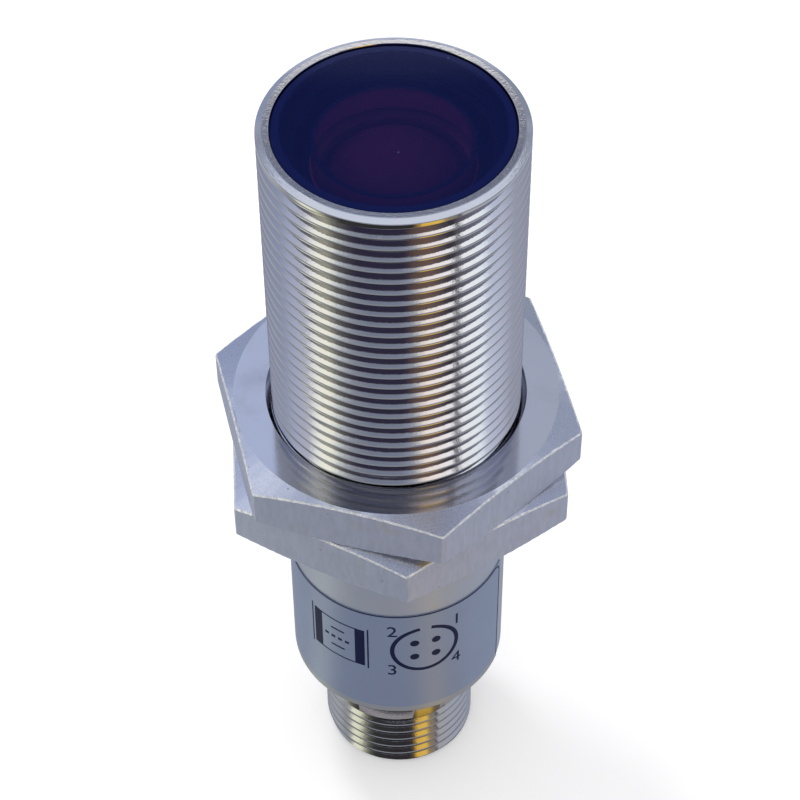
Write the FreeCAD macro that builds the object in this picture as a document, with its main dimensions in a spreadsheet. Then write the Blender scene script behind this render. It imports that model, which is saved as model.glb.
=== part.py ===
import FreeCAD, Part
import math
import os
import re

import Sketcher
from FreeCAD import Placement, Rotation, Vector

# Laser photoelectric sensor in an M18 threaded barrel, with an M12 plug stub and two lock nuts.
# The axis is Z, the origin is the centre of the plug's end, and +Z points to the sensing face.
# -Y is the side that carries the middle of the label. Threads stay plain at their outer diameter.

doc = FreeCAD.newDocument("LaserSensor")
sheet = doc.addObject("Spreadsheet::Sheet", "Sizes")

# Driving sizes in millimetres and degrees: alias, value, meaning
SIZES = (
    ("seat_gap", 0.02, "gap between pieces stacked along the axis"),
    ("slip_gap", 0.04, "radial gap between a piece and the hole that holds it"),
    ("nut_gap", 0.05, "radial running gap between nut and barrel"),
    ("stub_length", 10.45, "plug end to the barrel's rear face"),
    ("stub_rad", 6.0, "M12 outer radius"),
    ("stub_chamfer", 0.5, "chamfer at the plug's end"),
    ("socket_rad", 4.3, "plug cavity radius"),
    ("socket_step", 1.85, "plug cavity's floor to the barrel's rear face"),
    ("socket_lead", 0.3, "chamfer at the cavity's mouth"),
    ("lip_thick", 1.2, "inward lip at the barrel's rear"),
    ("collar_length", 3.0, "shell collar inside the barrel"),
    ("groove_inset", 1.0, "collar foot to its seal groove"),
    ("insert_rad", 5.0, "shell bore behind the cavity"),
    ("thread_rad", 9.0, "M18 outer radius"),
    ("rear_step", 0.73, "step from the thread in to the smooth rear"),
    ("rear_length", 17.4, "smooth rear up to the thread's foot"),
    ("rear_chamfer", 0.35, "chamfer at the barrel's rear edge"),
    ("rim_bevel_wide", 0.42, "width of the bevel at the rim"),
    ("rim_bevel_drop", 0.22, "drop of the bevel at the rim"),
    ("barrel_wall", 1.6, "thread's outer radius to the bore"),
    ("rim_wide", 0.9, "metal ring round the window"),
    ("window_rim", 1.2, "window thickness at its edge"),
    ("window_recess", 0.1, "window face below the rim"),
    ("window_bevel", 0.12, "bevel round the window's face"),
    ("skirt_gap", 0.45, "radial gap between the window's skirt and the bore"),
    ("skirt_length", 2.0, "window skirt length"),
    ("skirt_wall", 1.5, "window skirt wall"),
    ("seal_section", 0.85, "O-ring section"),
    ("seal_inset", 0.45, "window rim to its seal groove"),
    ("holder_length", 21.0, "optics holder length"),
    ("clamp_inset", 1.16, "holder's outside to the lens clamp ring"),
    ("clamp_wall", 1.25, "lens clamp ring wall"),
    ("clamp_height", 1.0, "lens clamp ring height"),
    ("clamp_depth", 1.4, "holder top to the lens rim"),
    ("spanner_width", 1.0, "spanner slot width in both clamp rings"),
    ("spanner_depth", 0.5, "spanner slot depth in both clamp rings"),
    ("lens_inset", 0.9, "lens clamp ring's outside to the lens's edge"),
    ("lens_rim", 1.2, "lens thickness at its rim"),
    ("lens_dome", 2.9, "height of the lens dome"),
    ("lens_land", 0.4, "flat land round the dome"),
    ("lens_ledge", 0.6, "width of the ledge under the lens"),
    ("cube_edge", 5.0, "beam splitter edge"),
    ("cube_gap", 0.05, "glue gap round the beam splitter"),
    ("cube_lift", 5.7, "holder foot to the splitter chamber"),
    ("beam_wall", 0.12, "chamber edge to the cone's narrow end"),
    ("flange_rad", 2.8, "laser can flange radius"),
    ("flange_thick", 1.2, "laser can flange thickness"),
    ("can_rad", 2.1, "laser can radius"),
    ("can_height", 2.2, "laser can height over its flange"),
    ("can_window", 0.8, "radius of the can's window recess"),
    ("can_window_depth", 0.15, "depth of the can's window recess"),
    ("laser_gap", 0.1, "radial gap between can and beam bore"),
    ("lead_rad", 0.225, "laser can lead radius"),
    ("lead_circle", 1.27, "radius of the leads' circle"),
    ("lead_tail", 0.8, "lead length past the front board"),
    ("ring_rad", 3.4, "diode clamp ring outer radius"),
    ("ring_wall", 1.5, "diode clamp ring wall"),
    ("ring_height", 1.5, "diode clamp ring height"),
    ("ring_inset", 0.2, "diode clamp ring below the holder's foot"),
    ("receiver_gap", 0.22, "receiver board's outer face to the chord of the bore"),
    ("diode_wide", 4.2, "photodiode width"),
    ("diode_tall", 4.6, "photodiode height"),
    ("diode_thick", 1.2, "photodiode thickness"),
    ("receiver_wide", 8.0, "receiver board width"),
    ("receiver_tall", 10.0, "receiver board height"),
    ("receiver_thick", 0.6, "receiver board thickness"),
    ("flex_wide", 3.0, "flexible strip width"),
    ("flex_thick", 0.15, "flexible strip thickness"),
    ("flex_foot", 0.9, "flexible strip's soldered foot"),
    ("flex_lap", 1.2, "flexible strip's lap on the receiver board"),
    ("board_thick", 0.8, "thickness of both round boards"),
    ("board_gap", 0.9, "gap between a round board and its neighbour"),
    ("sleeve_wall", 0.35, "insulating sleeve wall"),
    ("main_long", 22.61, "main board length between the round boards"),
    ("main_inset", 0.71, "sleeve bore to the main board's edge"),
    ("main_thick", 1.0, "main board thickness"),
    ("tab_inset", 2.95, "axis to a board tab"),
    ("tab_wide", 1.7, "board tab width"),
    ("notch_wide", 4.2, "notch for the laser can's leads"),
    ("notch_deep", 1.5, "depth of that notch"),
    ("carrier_length", 4.0, "contact carrier length behind the cavity"),
    ("nose_wide", 1.2, "coding nose width"),
    ("nose_thick", 0.75, "coding nose thickness"),
    ("nose_length", 6.0, "coding nose length in the cavity"),
    ("pin_rad", 0.5, "contact pin radius"),
    ("pin_circle", 2.65, "radius of the pins' circle"),
    ("pin_recess", 1.3, "pin tip below the plug's end"),
    ("pin_nose", 0.35, "rounded pin tip height"),
    ("tail_rad", 0.35, "solder tail radius"),
    ("tail_end", 0.5, "solder tail past the connector board"),
    ("potting_inset", 0.2, "potting below the collar's top"),
    ("label_gap", 0.5, "barrel's rear face to the label"),
    ("label_tall", 12.35, "label height"),
    ("label_thick", 0.08, "label thickness"),
    ("label_start_angle", 9.0, "angle where the label begins"),
    ("label_wrap_angle", 330.0, "angle that the label covers"),
    ("nut_flats", 24.0, "nut width across flats"),
    ("nut_height", 4.0, "nut height"),
    ("nut_face_inset", 0.25, "flats to the edge of the nut's round face"),
    ("nut_drop", 0.54, "chamfer drop at the nut's corners"),
    ("nut_lead", 0.38, "chamfer at the nut's bore"),
    ("nut_lift", 3.85, "thread's foot to the lower nut"),
    ("upper_nut_angle", 43.3, "angle of an upper nut corner"),
    ("lower_nut_angle", 32.7, "angle of a lower nut corner"),
    ("chip_lift", 0.1, "gap under a leaded chip"),
    ("lead_thick", 0.2, "chip lead thickness"),
    ("lead_wide", 0.4, "chip lead width"),
    ("capacitor_spacing", 2.4, "capacitor rows along the board"),
    ("resistor_spacing", 1.3, "resistor rows along the board"),
)

# Levels along the axis and radii that follow from the sizes: alias, formula, meaning
LEVELS = (
    ("bore_rad", "thread_rad - barrel_wall", "barrel bore"),
    ("rear_rad", "thread_rad - rear_step", "smooth rear of the barrel"),
    ("window_seat_rad", "thread_rad - rim_wide", "seat of the front window"),
    ("window_rad", "window_seat_rad - slip_gap", "front window"),
    ("skirt_rad", "bore_rad - skirt_gap", "window skirt's outside"),
    ("pocket_rad", "skirt_rad - skirt_wall", "window skirt's inside, round the lens"),
    ("neck_rad", "(stub_rad + bore_rad) / 2", "shell shoulder in the barrel's lip"),
    ("socket_depth", "stub_length - socket_step", "plug cavity depth"),
    ("lip_top", "stub_length + lip_thick", "top of the barrel's lip"),
    ("collar_foot", "lip_top + seat_gap", "shell collar foot"),
    ("shell_top", "collar_foot + collar_length", "shell collar top"),
    ("collar_rad", "bore_rad - slip_gap", "shell collar radius"),
    ("groove_rad", "bore_rad - seal_section", "floor of both seal grooves"),
    ("groove_foot", "collar_foot + groove_inset", "connector seal groove foot"),
    ("groove_wide", "seal_section + 2 * slip_gap", "width of both seal grooves"),
    ("carrier_foot", "socket_depth + seat_gap", "contact carrier face"),
    ("carrier_top", "carrier_foot + carrier_length", "contact carrier top"),
    ("potting_top", "shell_top - potting_inset", "potting top"),
    ("connector_board_foot", "shell_top + board_gap", "connector board foot"),
    ("main_foot", "connector_board_foot + board_thick", "connector board top"),
    ("main_top", "main_foot + main_long", "front board foot and main board top"),
    ("front_board_top", "main_top + board_thick", "front board top"),
    ("holder_foot", "front_board_top + board_gap", "optics holder foot"),
    ("holder_top", "holder_foot + holder_length", "optics holder top"),
    ("skirt_foot", "holder_top + seat_gap", "window skirt's back"),
    ("window_foot", "skirt_foot + skirt_length", "back of the window's pane"),
    ("window_seal_top", "window_foot - seal_inset", "window seal groove top"),
    ("window_top", "window_foot + window_rim", "window face"),
    ("barrel_top", "window_top + window_recess", "rim"),
    ("thread_foot", "stub_length + rear_length", "start of the thread"),
    ("holder_rad", "bore_rad - slip_gap", "optics holder radius"),
    ("clamp_rad", "holder_rad - clamp_inset", "lens clamp ring's outside"),
    ("lens_rad", "clamp_rad - lens_inset", "lens radius"),
    ("lens_top", "holder_top - clamp_depth", "top of the lens rim"),
    ("lens_foot", "lens_top - lens_rim", "back of the lens"),
    ("dome_rad", "lens_rad - lens_land", "radius of the lens dome"),
    ("cone_rad", "lens_rad - lens_ledge", "wide end of the beam cone"),
    ("chamber_half", "cube_edge / 2 + cube_gap", "half width of the splitter chamber"),
    ("chamber_foot", "holder_foot + cube_lift", "splitter chamber foot"),
    ("chamber_mid", "chamber_foot + chamber_half", "beam splitter centre"),
    ("chamber_top", "chamber_mid + chamber_half", "splitter chamber top"),
    ("cone_low_rad", "chamber_half - beam_wall", "narrow end of the beam cone"),
    ("ring_foot", "holder_foot + ring_inset", "diode clamp ring foot"),
    ("ring_top", "ring_foot + ring_height", "diode clamp ring top"),
    ("diode_seat", "ring_top + flange_thick", "seat of the laser can's flange"),
    ("can_top", "diode_seat + can_height", "laser can top"),
    ("laser_bore", "can_rad + laser_gap", "bore for the laser can"),
    ("sleeve_bore", "bore_rad - slip_gap - sleeve_wall", "insulating sleeve bore"),
    ("tab_out", "tab_inset + tab_wide", "axis to a tab's outer edge"),
    ("main_half", "sleeve_bore - main_inset", "half of the main board's width"),
    ("notch_half", "notch_wide / 2", "half of the lead notch"),
    ("slot_half", "main_thick / 2 + slip_gap", "half of a board slot's width"),
    ("pin_offset", "pin_circle / sqrt(2)", "pin centre along X and Y"),
    ("nose_half", "nose_wide / 2", "half of the coding nose"),
    ("nose_tip", "carrier_foot - nose_length", "coding nose tip"),
    ("spanner_half", "spanner_width / 2", "half of a spanner slot"),
    ("receiver_chord", "sqrt(bore_rad^2 - (receiver_wide / 2)^2)", "axis to the bore at the board's edges"),
    ("receiver_back", "receiver_chord - receiver_gap", "receiver board's outer face"),
    ("flat_offset", "receiver_back - receiver_thick", "axis to the holder's milled flat"),
    ("receiver_foot", "chamber_mid - receiver_tall / 2", "receiver board foot"),
    ("flat_top", "receiver_foot + receiver_tall + slip_gap", "top of the holder's milled flat"),
    ("nut_half", "nut_flats / 2", "nut axis to a flat"),
    ("nut_face_rad", "nut_half - nut_face_inset", "edge of the nut's round face"),
    ("nut_corner", "nut_flats / 2 / cos(30 deg)", "nut axis to a corner"),
    ("nut_corner_half", "nut_corner / 2", "half of that, for the hexagon"),
    ("nut_bore", "thread_rad + nut_gap", "nut bore"),
    ("nut_place", "thread_foot + nut_lift", "plug end to the lower nut"),
)

# Chips on the main board: name, length across, height along, thickness, place across, and
# inset, counted from the board's foot or as BOARD_BASE says. The last three stand in two columns.
CHIPS = (
    ("microcontroller", 5.0, 5.0, 0.9, 0.0, 0.5),
    ("laser_driver", 3.9, 4.9, 1.4, 0.0, 4.41),
    ("voltage_regulator", 3.5, 6.5, 1.6, 0.0, 4.6),
    ("surge_suppressor", 4.3, 2.6, 2.2, 0.0, 2.4),
    ("supply_capacitor", 4.3, 6.0, 2.6, 0.0, 7.6),
    ("transistor", 1.3, 2.9, 1.0, 3.8, 2.7),
    ("capacitor", 1.25, 2.0, 1.25, 4.7, 10.0),
    ("resistor", 1.6, 0.8, 0.45, 1.8, 2.31),
)
CHIP_FIELDS = ("long", "tall", "high", "across", "inset")
CHIP_MEANING = "length, height, thickness and place of the "
BOARD_BASE = {
    "microcontroller": "main_long / 2 + ",
    "transistor": "main_long / 2 + ",
    "laser_driver": "main_long - ",
    "resistor": "main_long - ",
}
LEAD_REACH = {"laser_driver": 1.0, "voltage_regulator": 1.4, "surge_suppressor": 0.6, "transistor": 0.5}


def fill_sheet():
    """Write each size as a plain number and each level as a formula, all with aliases."""
    rows = list(SIZES)
    for name, *values in CHIPS:
        for field, value in zip(CHIP_FIELDS, values):
            rows.append((name + "_" + field, value, CHIP_MEANING + name))
    for name, reach in LEAD_REACH.items():
        rows.append((name + "_reach", reach, "lead length of the " + name))
    for alias, formula, meaning in LEVELS:
        rows.append((alias, "=" + formula, meaning))
    for row, (alias, content, meaning) in enumerate(rows, start=1):
        sheet.set("A%d" % row, meaning)
        sheet.set("B%d" % row, str(content))
        sheet.setAlias("B%d" % row, alias)
    doc.recompute()


def bound(text):
    """Expression in which every size name points to the sheet."""
    return re.sub(r"[a-z]\w*", lambda word: "Sizes." + word.group(), text)


def sum_of(text):
    """Number that a sum of sizes such as 'bore_rad - slip_gap' stands for."""
    total = 0.0
    sign = 1
    for word in text.split():
        if word in ("+", "-"):
            sign = 1 if word == "+" else -1
        else:
            total += sign * float(sheet.get(word))
    return total


def place(item, across="0", deep="0", up="0"):
    """Bind a piece's place along X, Y and Z to expressions."""
    for axis, text in (("x", across), ("y", deep), ("z", up)):
        if text != "0":
            item.setExpression("Placement.Base." + axis, bound(text))
    return item


def tie(sketch, edge, end, axis, text):
    """Tie one coordinate of a point to a sum of sizes; a leading minus mirrors the whole sum."""
    if text == "0":
        across = -2 if axis == "X" else -1
        sketch.addConstraint(Sketcher.Constraint("PointOnObject", edge, end, across))
        return
    plain = text.lstrip("-")
    ends = (edge, end, -1, 1) if text.startswith("-") else (-1, 1, edge, end)
    number = sketch.addConstraint(Sketcher.Constraint("Distance" + axis, *ends, sum_of(plain)))
    sketch.setExpression("Constraints[%d]" % number, bound(plain))


def coordinate(text):
    """Number of one outline coordinate, read as tie() reads it."""
    if text == "0":
        return 0.0
    return -sum_of(text[1:]) if text.startswith("-") else sum_of(text)


def new_sketch(body, name, plane, lift):
    """Sketch on one of the body's own origin planes, lifted along its normal."""
    sketch = body.newObject("Sketcher::SketchObject", name)
    support = [item for item in body.Origin.OriginFeatures if item.Role == plane][0]
    sketch.AttachmentSupport = [(support, "")]
    sketch.MapMode = "FlatFace"
    if lift != "0":
        sketch.setExpression("AttachmentOffset.Base.z", bound(lift))
    return sketch


def dome(start, end):
    """Arc from start to end, counter-clockwise, with its centre on the axis."""
    low, high = (end, start) if end.x else (start, end)
    rise = abs(end.y - start.y)
    wide = max(start.x, end.x)
    radius = (wide ** 2 + rise ** 2) / (2 * rise)
    centre = Vector(0, start.y + radius if start.x == 0 else end.y - radius, 0)
    angles = [math.atan2(point.y - centre.y, point.x) for point in (start, end)]
    return Part.ArcOfCircle(Part.Circle(centre, Vector(0, 0, 1), radius), *angles)


def outline_sketch(body, name, plane, outline, lift="0"):
    """Closed sketch through (across, up) sums; a third entry makes the next edge a dome."""
    sketch = new_sketch(body, name, plane, lift)
    points = [Vector(coordinate(corner[0]), coordinate(corner[1]), 0) for corner in outline]
    for number, corner in enumerate(outline):
        start = points[number]
        end = points[(number + 1) % len(points)]
        edge = dome(start, end) if len(corner) == 3 else Part.LineSegment(start, end)
        sketch.addGeometry(edge, False)
    for number, corner in enumerate(outline):
        after = (number + 1) % len(points)
        sketch.addConstraint(Sketcher.Constraint("Coincident", number, 2, after, 1))
        tie(sketch, number, 1, "X", corner[0])
        tie(sketch, number, 1, "Y", corner[1])
        if len(corner) == 3:
            tie(sketch, number, 3, "X", "0")
    return sketch


def circle_sketch(body, name, radius, across="0", deep="0", lift="0"):
    """Sketch of one circle on the XY plane."""
    sketch = new_sketch(body, name, "XY_Plane", lift)
    centre = Vector(coordinate(across), coordinate(deep), 0)
    sketch.addGeometry(Part.Circle(centre, Vector(0, 0, 1), sum_of(radius)), False)
    tie(sketch, 0, 3, "X", across)
    tie(sketch, 0, 3, "Y", deep)
    number = sketch.addConstraint(Sketcher.Constraint("Radius", 0, sum_of(radius)))
    sketch.setExpression("Constraints[%d]" % number, bound(radius))
    return sketch


def turned(name, outline, sweep=None):
    """Body turned about Z from a closed outline of radii and heights."""
    body = doc.addObject("PartDesign::Body", name)
    sketch = outline_sketch(body, name + "_outline", "XZ_Plane", outline)
    turning = body.newObject("PartDesign::Revolution", name + "_turning")
    turning.Profile = sketch
    turning.ReferenceAxis = (sketch, ["V_Axis"])
    turning.Angle = 360
    if sweep:
        turning.setExpression("Angle", bound(sweep))
    return body


def pad(body, sketch, length, both_ways=False):
    """Pad of a sketch along its normal."""
    feature = body.newObject("PartDesign::Pad", sketch.Name + "_pad")
    feature.Profile = sketch
    feature.setExpression("Length", bound(length))
    if both_ways:
        feature.SideType = "Symmetric"
    return feature


def pocket(body, sketch, depth=None):
    """Pocket of a sketch against its normal, through everything unless a depth is given."""
    feature = body.newObject("PartDesign::Pocket", sketch.Name + "_pocket")
    feature.Profile = sketch
    if depth:
        feature.setExpression("Length", bound(depth))
    else:
        feature.Type = "ThroughAll"
    return feature


def repeat(body, feature, sketch, copies):
    """Copies of a feature spread evenly round the axis."""
    pattern = body.newObject("PartDesign::PolarPattern", feature.Name + "_pattern")
    pattern.Originals = [feature]
    pattern.Axis = (sketch, ["N_Axis"])
    pattern.Angle = 360
    pattern.Occurrences = copies
    body.Tip = pattern
    return pattern


def box(name, low, size):
    """Part::Box from the expressions of its lowest corner and of its three sizes."""
    item = doc.addObject("Part::Box", name)
    for side, text in zip(("Length", "Width", "Height"), size):
        item.setExpression(side, bound(text))
    return place(item, *low)


def join(name, kind, pieces):
    """Part::MultiFuse or Part::Compound of several pieces."""
    whole = doc.addObject(kind, name)
    if kind == "Part::Compound":
        whole.Links = pieces
    else:
        whole.Shapes = pieces
    return whole


def cut(name, base, tool):
    """Part::Cut of one piece by another."""
    whole = doc.addObject("Part::Cut", name)
    whole.Base = base
    whole.Tool = tool
    return whole


def barrel():
    """Turned tube: lip at the rear, thread zone, bevelled rim with the window's seat."""
    return turned("barrel", (
        ("rear_rad - rear_chamfer", "stub_length"),
        ("rear_rad", "stub_length + rear_chamfer"),
        ("rear_rad", "thread_foot"),
        ("thread_rad", "thread_foot + thread_rad - rear_rad"),
        ("thread_rad", "barrel_top - rim_bevel_drop"),
        ("thread_rad - rim_bevel_wide", "barrel_top"),
        ("window_seat_rad", "barrel_top"),
        ("window_seat_rad", "window_foot - seat_gap"),
        ("bore_rad", "window_foot - seat_gap"),
        ("bore_rad", "lip_top"),
        ("neck_rad + slip_gap", "lip_top"),
        ("neck_rad + slip_gap", "stub_length"),
    ))


def front_window():
    """Dark filter cap: flat pane, and a skirt that carries the seal and leaves the lens room."""
    return turned("front_window", (
        ("0", "window_foot"),
        ("pocket_rad", "window_foot"),
        ("pocket_rad", "skirt_foot"),
        ("skirt_rad", "skirt_foot"),
        ("skirt_rad", "window_seal_top - groove_wide"),
        ("groove_rad", "window_seal_top - groove_wide"),
        ("groove_rad", "window_seal_top"),
        ("skirt_rad", "window_seal_top"),
        ("skirt_rad", "window_foot"),
        ("window_rad", "window_foot"),
        ("window_rad", "window_top - window_bevel"),
        ("window_rad - window_bevel", "window_top"),
        ("0", "window_top"),
    ))


def seal(name, groove_foot):
    """O-ring between the bore and a groove whose foot is given."""
    ring = doc.addObject("Part::Torus", name)
    ring.setExpression("Radius1", bound("bore_rad - seal_section / 2"))
    ring.setExpression("Radius2", bound("(seal_section - seat_gap) / 2"))
    return place(ring, up=groove_foot + " + groove_wide / 2")


def optics_holder():
    """Moulded holder: stepped bore for lens and laser, chamber and flat for the receiver."""
    blank = turned("holder_blank", (
        ("ring_rad + slip_gap", "holder_foot"),
        ("holder_rad", "holder_foot"),
        ("holder_rad", "holder_top"),
        ("clamp_rad + slip_gap", "holder_top"),
        ("clamp_rad + slip_gap", "lens_top"),
        ("lens_rad + slip_gap", "lens_top"),
        ("lens_rad + slip_gap", "lens_foot"),
        ("cone_rad", "lens_foot"),
        ("cone_low_rad", "chamber_top"),
        ("laser_bore", "chamber_foot"),
        ("laser_bore", "diode_seat"),
        ("flange_rad + slip_gap", "diode_seat"),
        ("flange_rad + slip_gap", "ring_top"),
        ("ring_rad + slip_gap", "ring_top"),
    ))
    chamber = box(
        "splitter_chamber",
        ("-chamber_half", "-chamber_half", "chamber_foot"),
        ("chamber_half + bore_rad", "2 * chamber_half", "2 * chamber_half"),
    )
    flat = box(
        "receiver_flat",
        ("flat_offset", "-bore_rad", "holder_foot - receiver_thick"),
        ("bore_rad", "2 * bore_rad", "flat_top - holder_foot + receiver_thick"),
    )
    return cut("optics_holder", blank, join("holder_cuts", "Part::MultiFuse", [chamber, flat]))


def objective_lens():
    """Plano-convex lens with a flat land round its dome."""
    return turned("objective_lens", (
        ("0", "lens_foot"),
        ("lens_rad", "lens_foot"),
        ("lens_rad", "lens_top"),
        ("dome_rad", "lens_top", "dome"),
        ("0", "lens_top + lens_dome"),
    ))


def clamp_ring(name, radius, wall, foot, top, slot_top):
    """Threaded ring with two spanner slots in its free face."""
    inner = radius + " - " + wall
    body = turned(name, (
        (inner, foot),
        (radius, foot),
        (radius, top),
        (inner, top),
    ))
    slot = outline_sketch(body, name + "_slot", "XY_Plane", (
        (inner + " - spanner_half", "-spanner_half"),
        (radius + " + spanner_half", "-spanner_half"),
        (radius + " + spanner_half", "spanner_half"),
        (inner + " - spanner_half", "spanner_half"),
    ), lift=slot_top)
    repeat(body, pocket(body, slot, "spanner_depth"), slot, 2)
    return body


def lens_clamp_ring():
    """Ring that holds the lens down, its spanner slots facing the window."""
    return clamp_ring(
        "lens_clamp_ring", "clamp_rad", "clamp_wall",
        "lens_top", "lens_top + clamp_height", "lens_top + clamp_height",
    )


def diode_clamp_ring():
    """Brass ring behind the laser can, its spanner slots facing the boards."""
    return clamp_ring(
        "diode_clamp_ring", "ring_rad", "ring_wall",
        "ring_foot", "ring_top", "ring_foot + spanner_depth",
    )


def laser_diode():
    """Sealed can on its flange, with three leads down through the front board."""
    body = turned("laser_diode", (
        ("0", "ring_top"),
        ("flange_rad", "ring_top"),
        ("flange_rad", "diode_seat"),
        ("can_rad", "diode_seat"),
        ("can_rad", "can_top"),
        ("can_window", "can_top"),
        ("can_window", "can_top - can_window_depth"),
        ("0", "can_top - can_window_depth"),
    ))
    lead = circle_sketch(body, "diode_lead", "lead_rad", deep="lead_circle", lift="main_top - lead_tail")
    repeat(body, pad(body, lead, "ring_top - main_top + lead_tail"), lead, 3)
    return body


def beam_splitter():
    """Glass cube in the holder's chamber."""
    return box(
        "beam_splitter",
        ("-cube_edge / 2", "-cube_edge / 2", "chamber_mid - cube_edge / 2"),
        ("cube_edge", "cube_edge", "cube_edge"),
    )


def receiver_side():
    """Photodiode, its board on the holder's flat and the strip down to the front board."""
    photodiode = box(
        "photodiode",
        ("flat_offset - diode_thick", "-diode_wide / 2", "chamber_mid - diode_tall / 2"),
        ("diode_thick", "diode_wide", "diode_tall"),
    )
    board = box(
        "receiver_board",
        ("flat_offset", "-receiver_wide / 2", "receiver_foot"),
        ("receiver_thick", "receiver_wide", "receiver_tall"),
    )
    flex = doc.addObject("PartDesign::Body", "receiver_flex")
    strip = outline_sketch(flex, "flex_outline", "XZ_Plane", (
        ("receiver_back - flex_foot", "front_board_top"),
        ("receiver_back + flex_thick", "front_board_top"),
        ("receiver_back + flex_thick", "receiver_foot + flex_lap"),
        ("receiver_back", "receiver_foot + flex_lap"),
        ("receiver_back", "front_board_top + flex_thick"),
        ("receiver_back - flex_foot", "front_board_top + flex_thick"),
    ))
    pad(flex, strip, "flex_wide", both_ways=True)
    return [photodiode, board, flex]


def round_board(name, foot, top, hole, hole_deep, hole_across, holes):
    """Round board with two slots for the main board's tabs and a ring of holes."""
    body = turned(name, (
        ("0", foot),
        ("sleeve_bore - slip_gap", foot),
        ("sleeve_bore - slip_gap", top),
        ("0", top),
    ))
    slot = outline_sketch(body, name + "_slot", "XY_Plane", (
        ("tab_inset - slip_gap", "-slot_half"),
        ("tab_out + slip_gap", "-slot_half"),
        ("tab_out + slip_gap", "slot_half"),
        ("tab_inset - slip_gap", "slot_half"),
    ), lift=top)
    repeat(body, pocket(body, slot), slot, 2)
    drill = circle_sketch(body, name + "_hole", hole, across=hole_across, deep=hole_deep, lift=top)
    repeat(body, pocket(body, drill), drill, holes)
    return body


def main_board():
    """Long board with two tabs at each end and a notch for the laser can's leads."""
    body = doc.addObject("PartDesign::Body", "main_board")
    right = (
        ("tab_inset", "main_foot"),
        ("tab_inset", "connector_board_foot"),
        ("tab_out", "connector_board_foot"),
        ("tab_out", "main_foot"),
        ("main_half", "main_foot"),
        ("main_half", "main_top"),
        ("tab_out", "main_top"),
        ("tab_out", "front_board_top"),
        ("tab_inset", "front_board_top"),
        ("tab_inset", "main_top"),
        ("notch_half", "main_top"),
        ("notch_half", "main_top - notch_deep"),
    )
    left = tuple(("-" + across, up) for across, up in reversed(right))
    sketch = outline_sketch(body, "main_board_outline", "XZ_Plane", right + left)
    pad(body, sketch, "main_thick", both_ways=True)
    return body


def chip(name, size, front, leads=0, across=None, inset=None):
    """Chip on one face of the main board, with rows of flat leads where it has any."""
    middle = across or size + "_across"
    height = "main_foot + " + BOARD_BASE.get(size, "") + (inset or size + "_inset")
    lift = "chip_lift" if leads else "seat_gap"
    if front:
        deep = "-main_thick / 2 - %s - %s_high" % (lift, size)
        lead_deep = "-main_thick / 2 - lead_thick"
    else:
        deep = "main_thick / 2 + " + lift
        lead_deep = "main_thick / 2"
    case = box(
        name + "_case" if leads else name,
        ("%s - %s_long / 2" % (middle, size), deep, "%s - %s_tall / 2" % (height, size)),
        (size + "_long", size + "_high", size + "_tall"),
    )
    pieces = [case]
    for number in range(leads):
        share = (2 * number + 1 - leads) / (2.0 * leads)
        pieces.append(box(
            "%s_lead_%d" % (name, number + 1),
            (
                "%s - %s_long / 2 - %s_reach" % (middle, size, size),
                lead_deep,
                "%s + %s_tall * (%f) - lead_wide / 2" % (height, size, share),
            ),
            ("%s_long + 2 * %s_reach" % (size, size), "lead_thick", "lead_wide"),
        ))
    return join(name, "Part::MultiFuse", pieces) if leads else case


def board_parts():
    """Everything soldered to the main board's two faces."""
    nodes = [
        chip("microcontroller", "microcontroller", front=True),
        chip("laser_driver", "laser_driver", front=True, leads=4),
        chip("voltage_regulator", "voltage_regulator", front=True, leads=3),
        chip("surge_suppressor", "surge_suppressor", front=False, leads=1),
        chip("supply_capacitor", "supply_capacitor", front=False),
    ]
    transistors = []
    capacitors = []
    resistors = []
    for side, sign in (("left", "-"), ("right", "")):
        transistors.append(chip(
            "output_transistor_" + side, "transistor", front=False, leads=2,
            across=sign + "transistor_across",
        ))
        for row in range(3):
            capacitors.append(chip(
                "capacitor_%s_%d" % (side, row + 1), "capacitor", front=True,
                across=sign + "capacitor_across", inset="capacitor_inset + %d * capacitor_spacing" % row,
            ))
        for row in range(4):
            resistors.append(chip(
                "resistor_%s_%d" % (side, row + 1), "resistor", front=False,
                across=sign + "resistor_across", inset="resistor_inset - %d * resistor_spacing" % row,
            ))
    nodes.append(join("output_transistors", "Part::Compound", transistors))
    nodes.append(join("ceramic_capacitors", "Part::Compound", capacitors))
    nodes.append(join("chip_resistors", "Part::Compound", resistors))
    return nodes


def insulating_sleeve():
    """Plastic tube between the boards and the barrel."""
    return turned("insulating_sleeve", (
        ("sleeve_bore", "shell_top + seat_gap"),
        ("bore_rad - slip_gap", "shell_top + seat_gap"),
        ("bore_rad - slip_gap", "holder_foot - seat_gap"),
        ("sleeve_bore", "holder_foot - seat_gap"),
    ))


def connector_shell():
    """Turned M12 stub: cavity for the plug, shoulder in the lip, sealed collar in the bore."""
    return turned("connector_shell", (
        ("socket_rad + socket_lead", "0"),
        ("stub_rad - stub_chamfer", "0"),
        ("stub_rad", "stub_chamfer"),
        ("stub_rad", "stub_length"),
        ("neck_rad", "stub_length"),
        ("neck_rad", "collar_foot"),
        ("collar_rad", "collar_foot"),
        ("collar_rad", "groove_foot"),
        ("groove_rad", "groove_foot"),
        ("groove_rad", "groove_foot + groove_wide"),
        ("collar_rad", "groove_foot + groove_wide"),
        ("collar_rad", "shell_top"),
        ("insert_rad", "shell_top"),
        ("insert_rad", "socket_depth"),
        ("socket_rad", "socket_depth"),
        ("socket_rad", "socket_lead"),
    ))


def insert_disc(name, foot, top):
    """Disc in the shell's rear bore."""
    return turned(name, (
        ("0", foot),
        ("insert_rad - slip_gap", foot),
        ("insert_rad - slip_gap", top),
        ("0", top),
    ))


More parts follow.
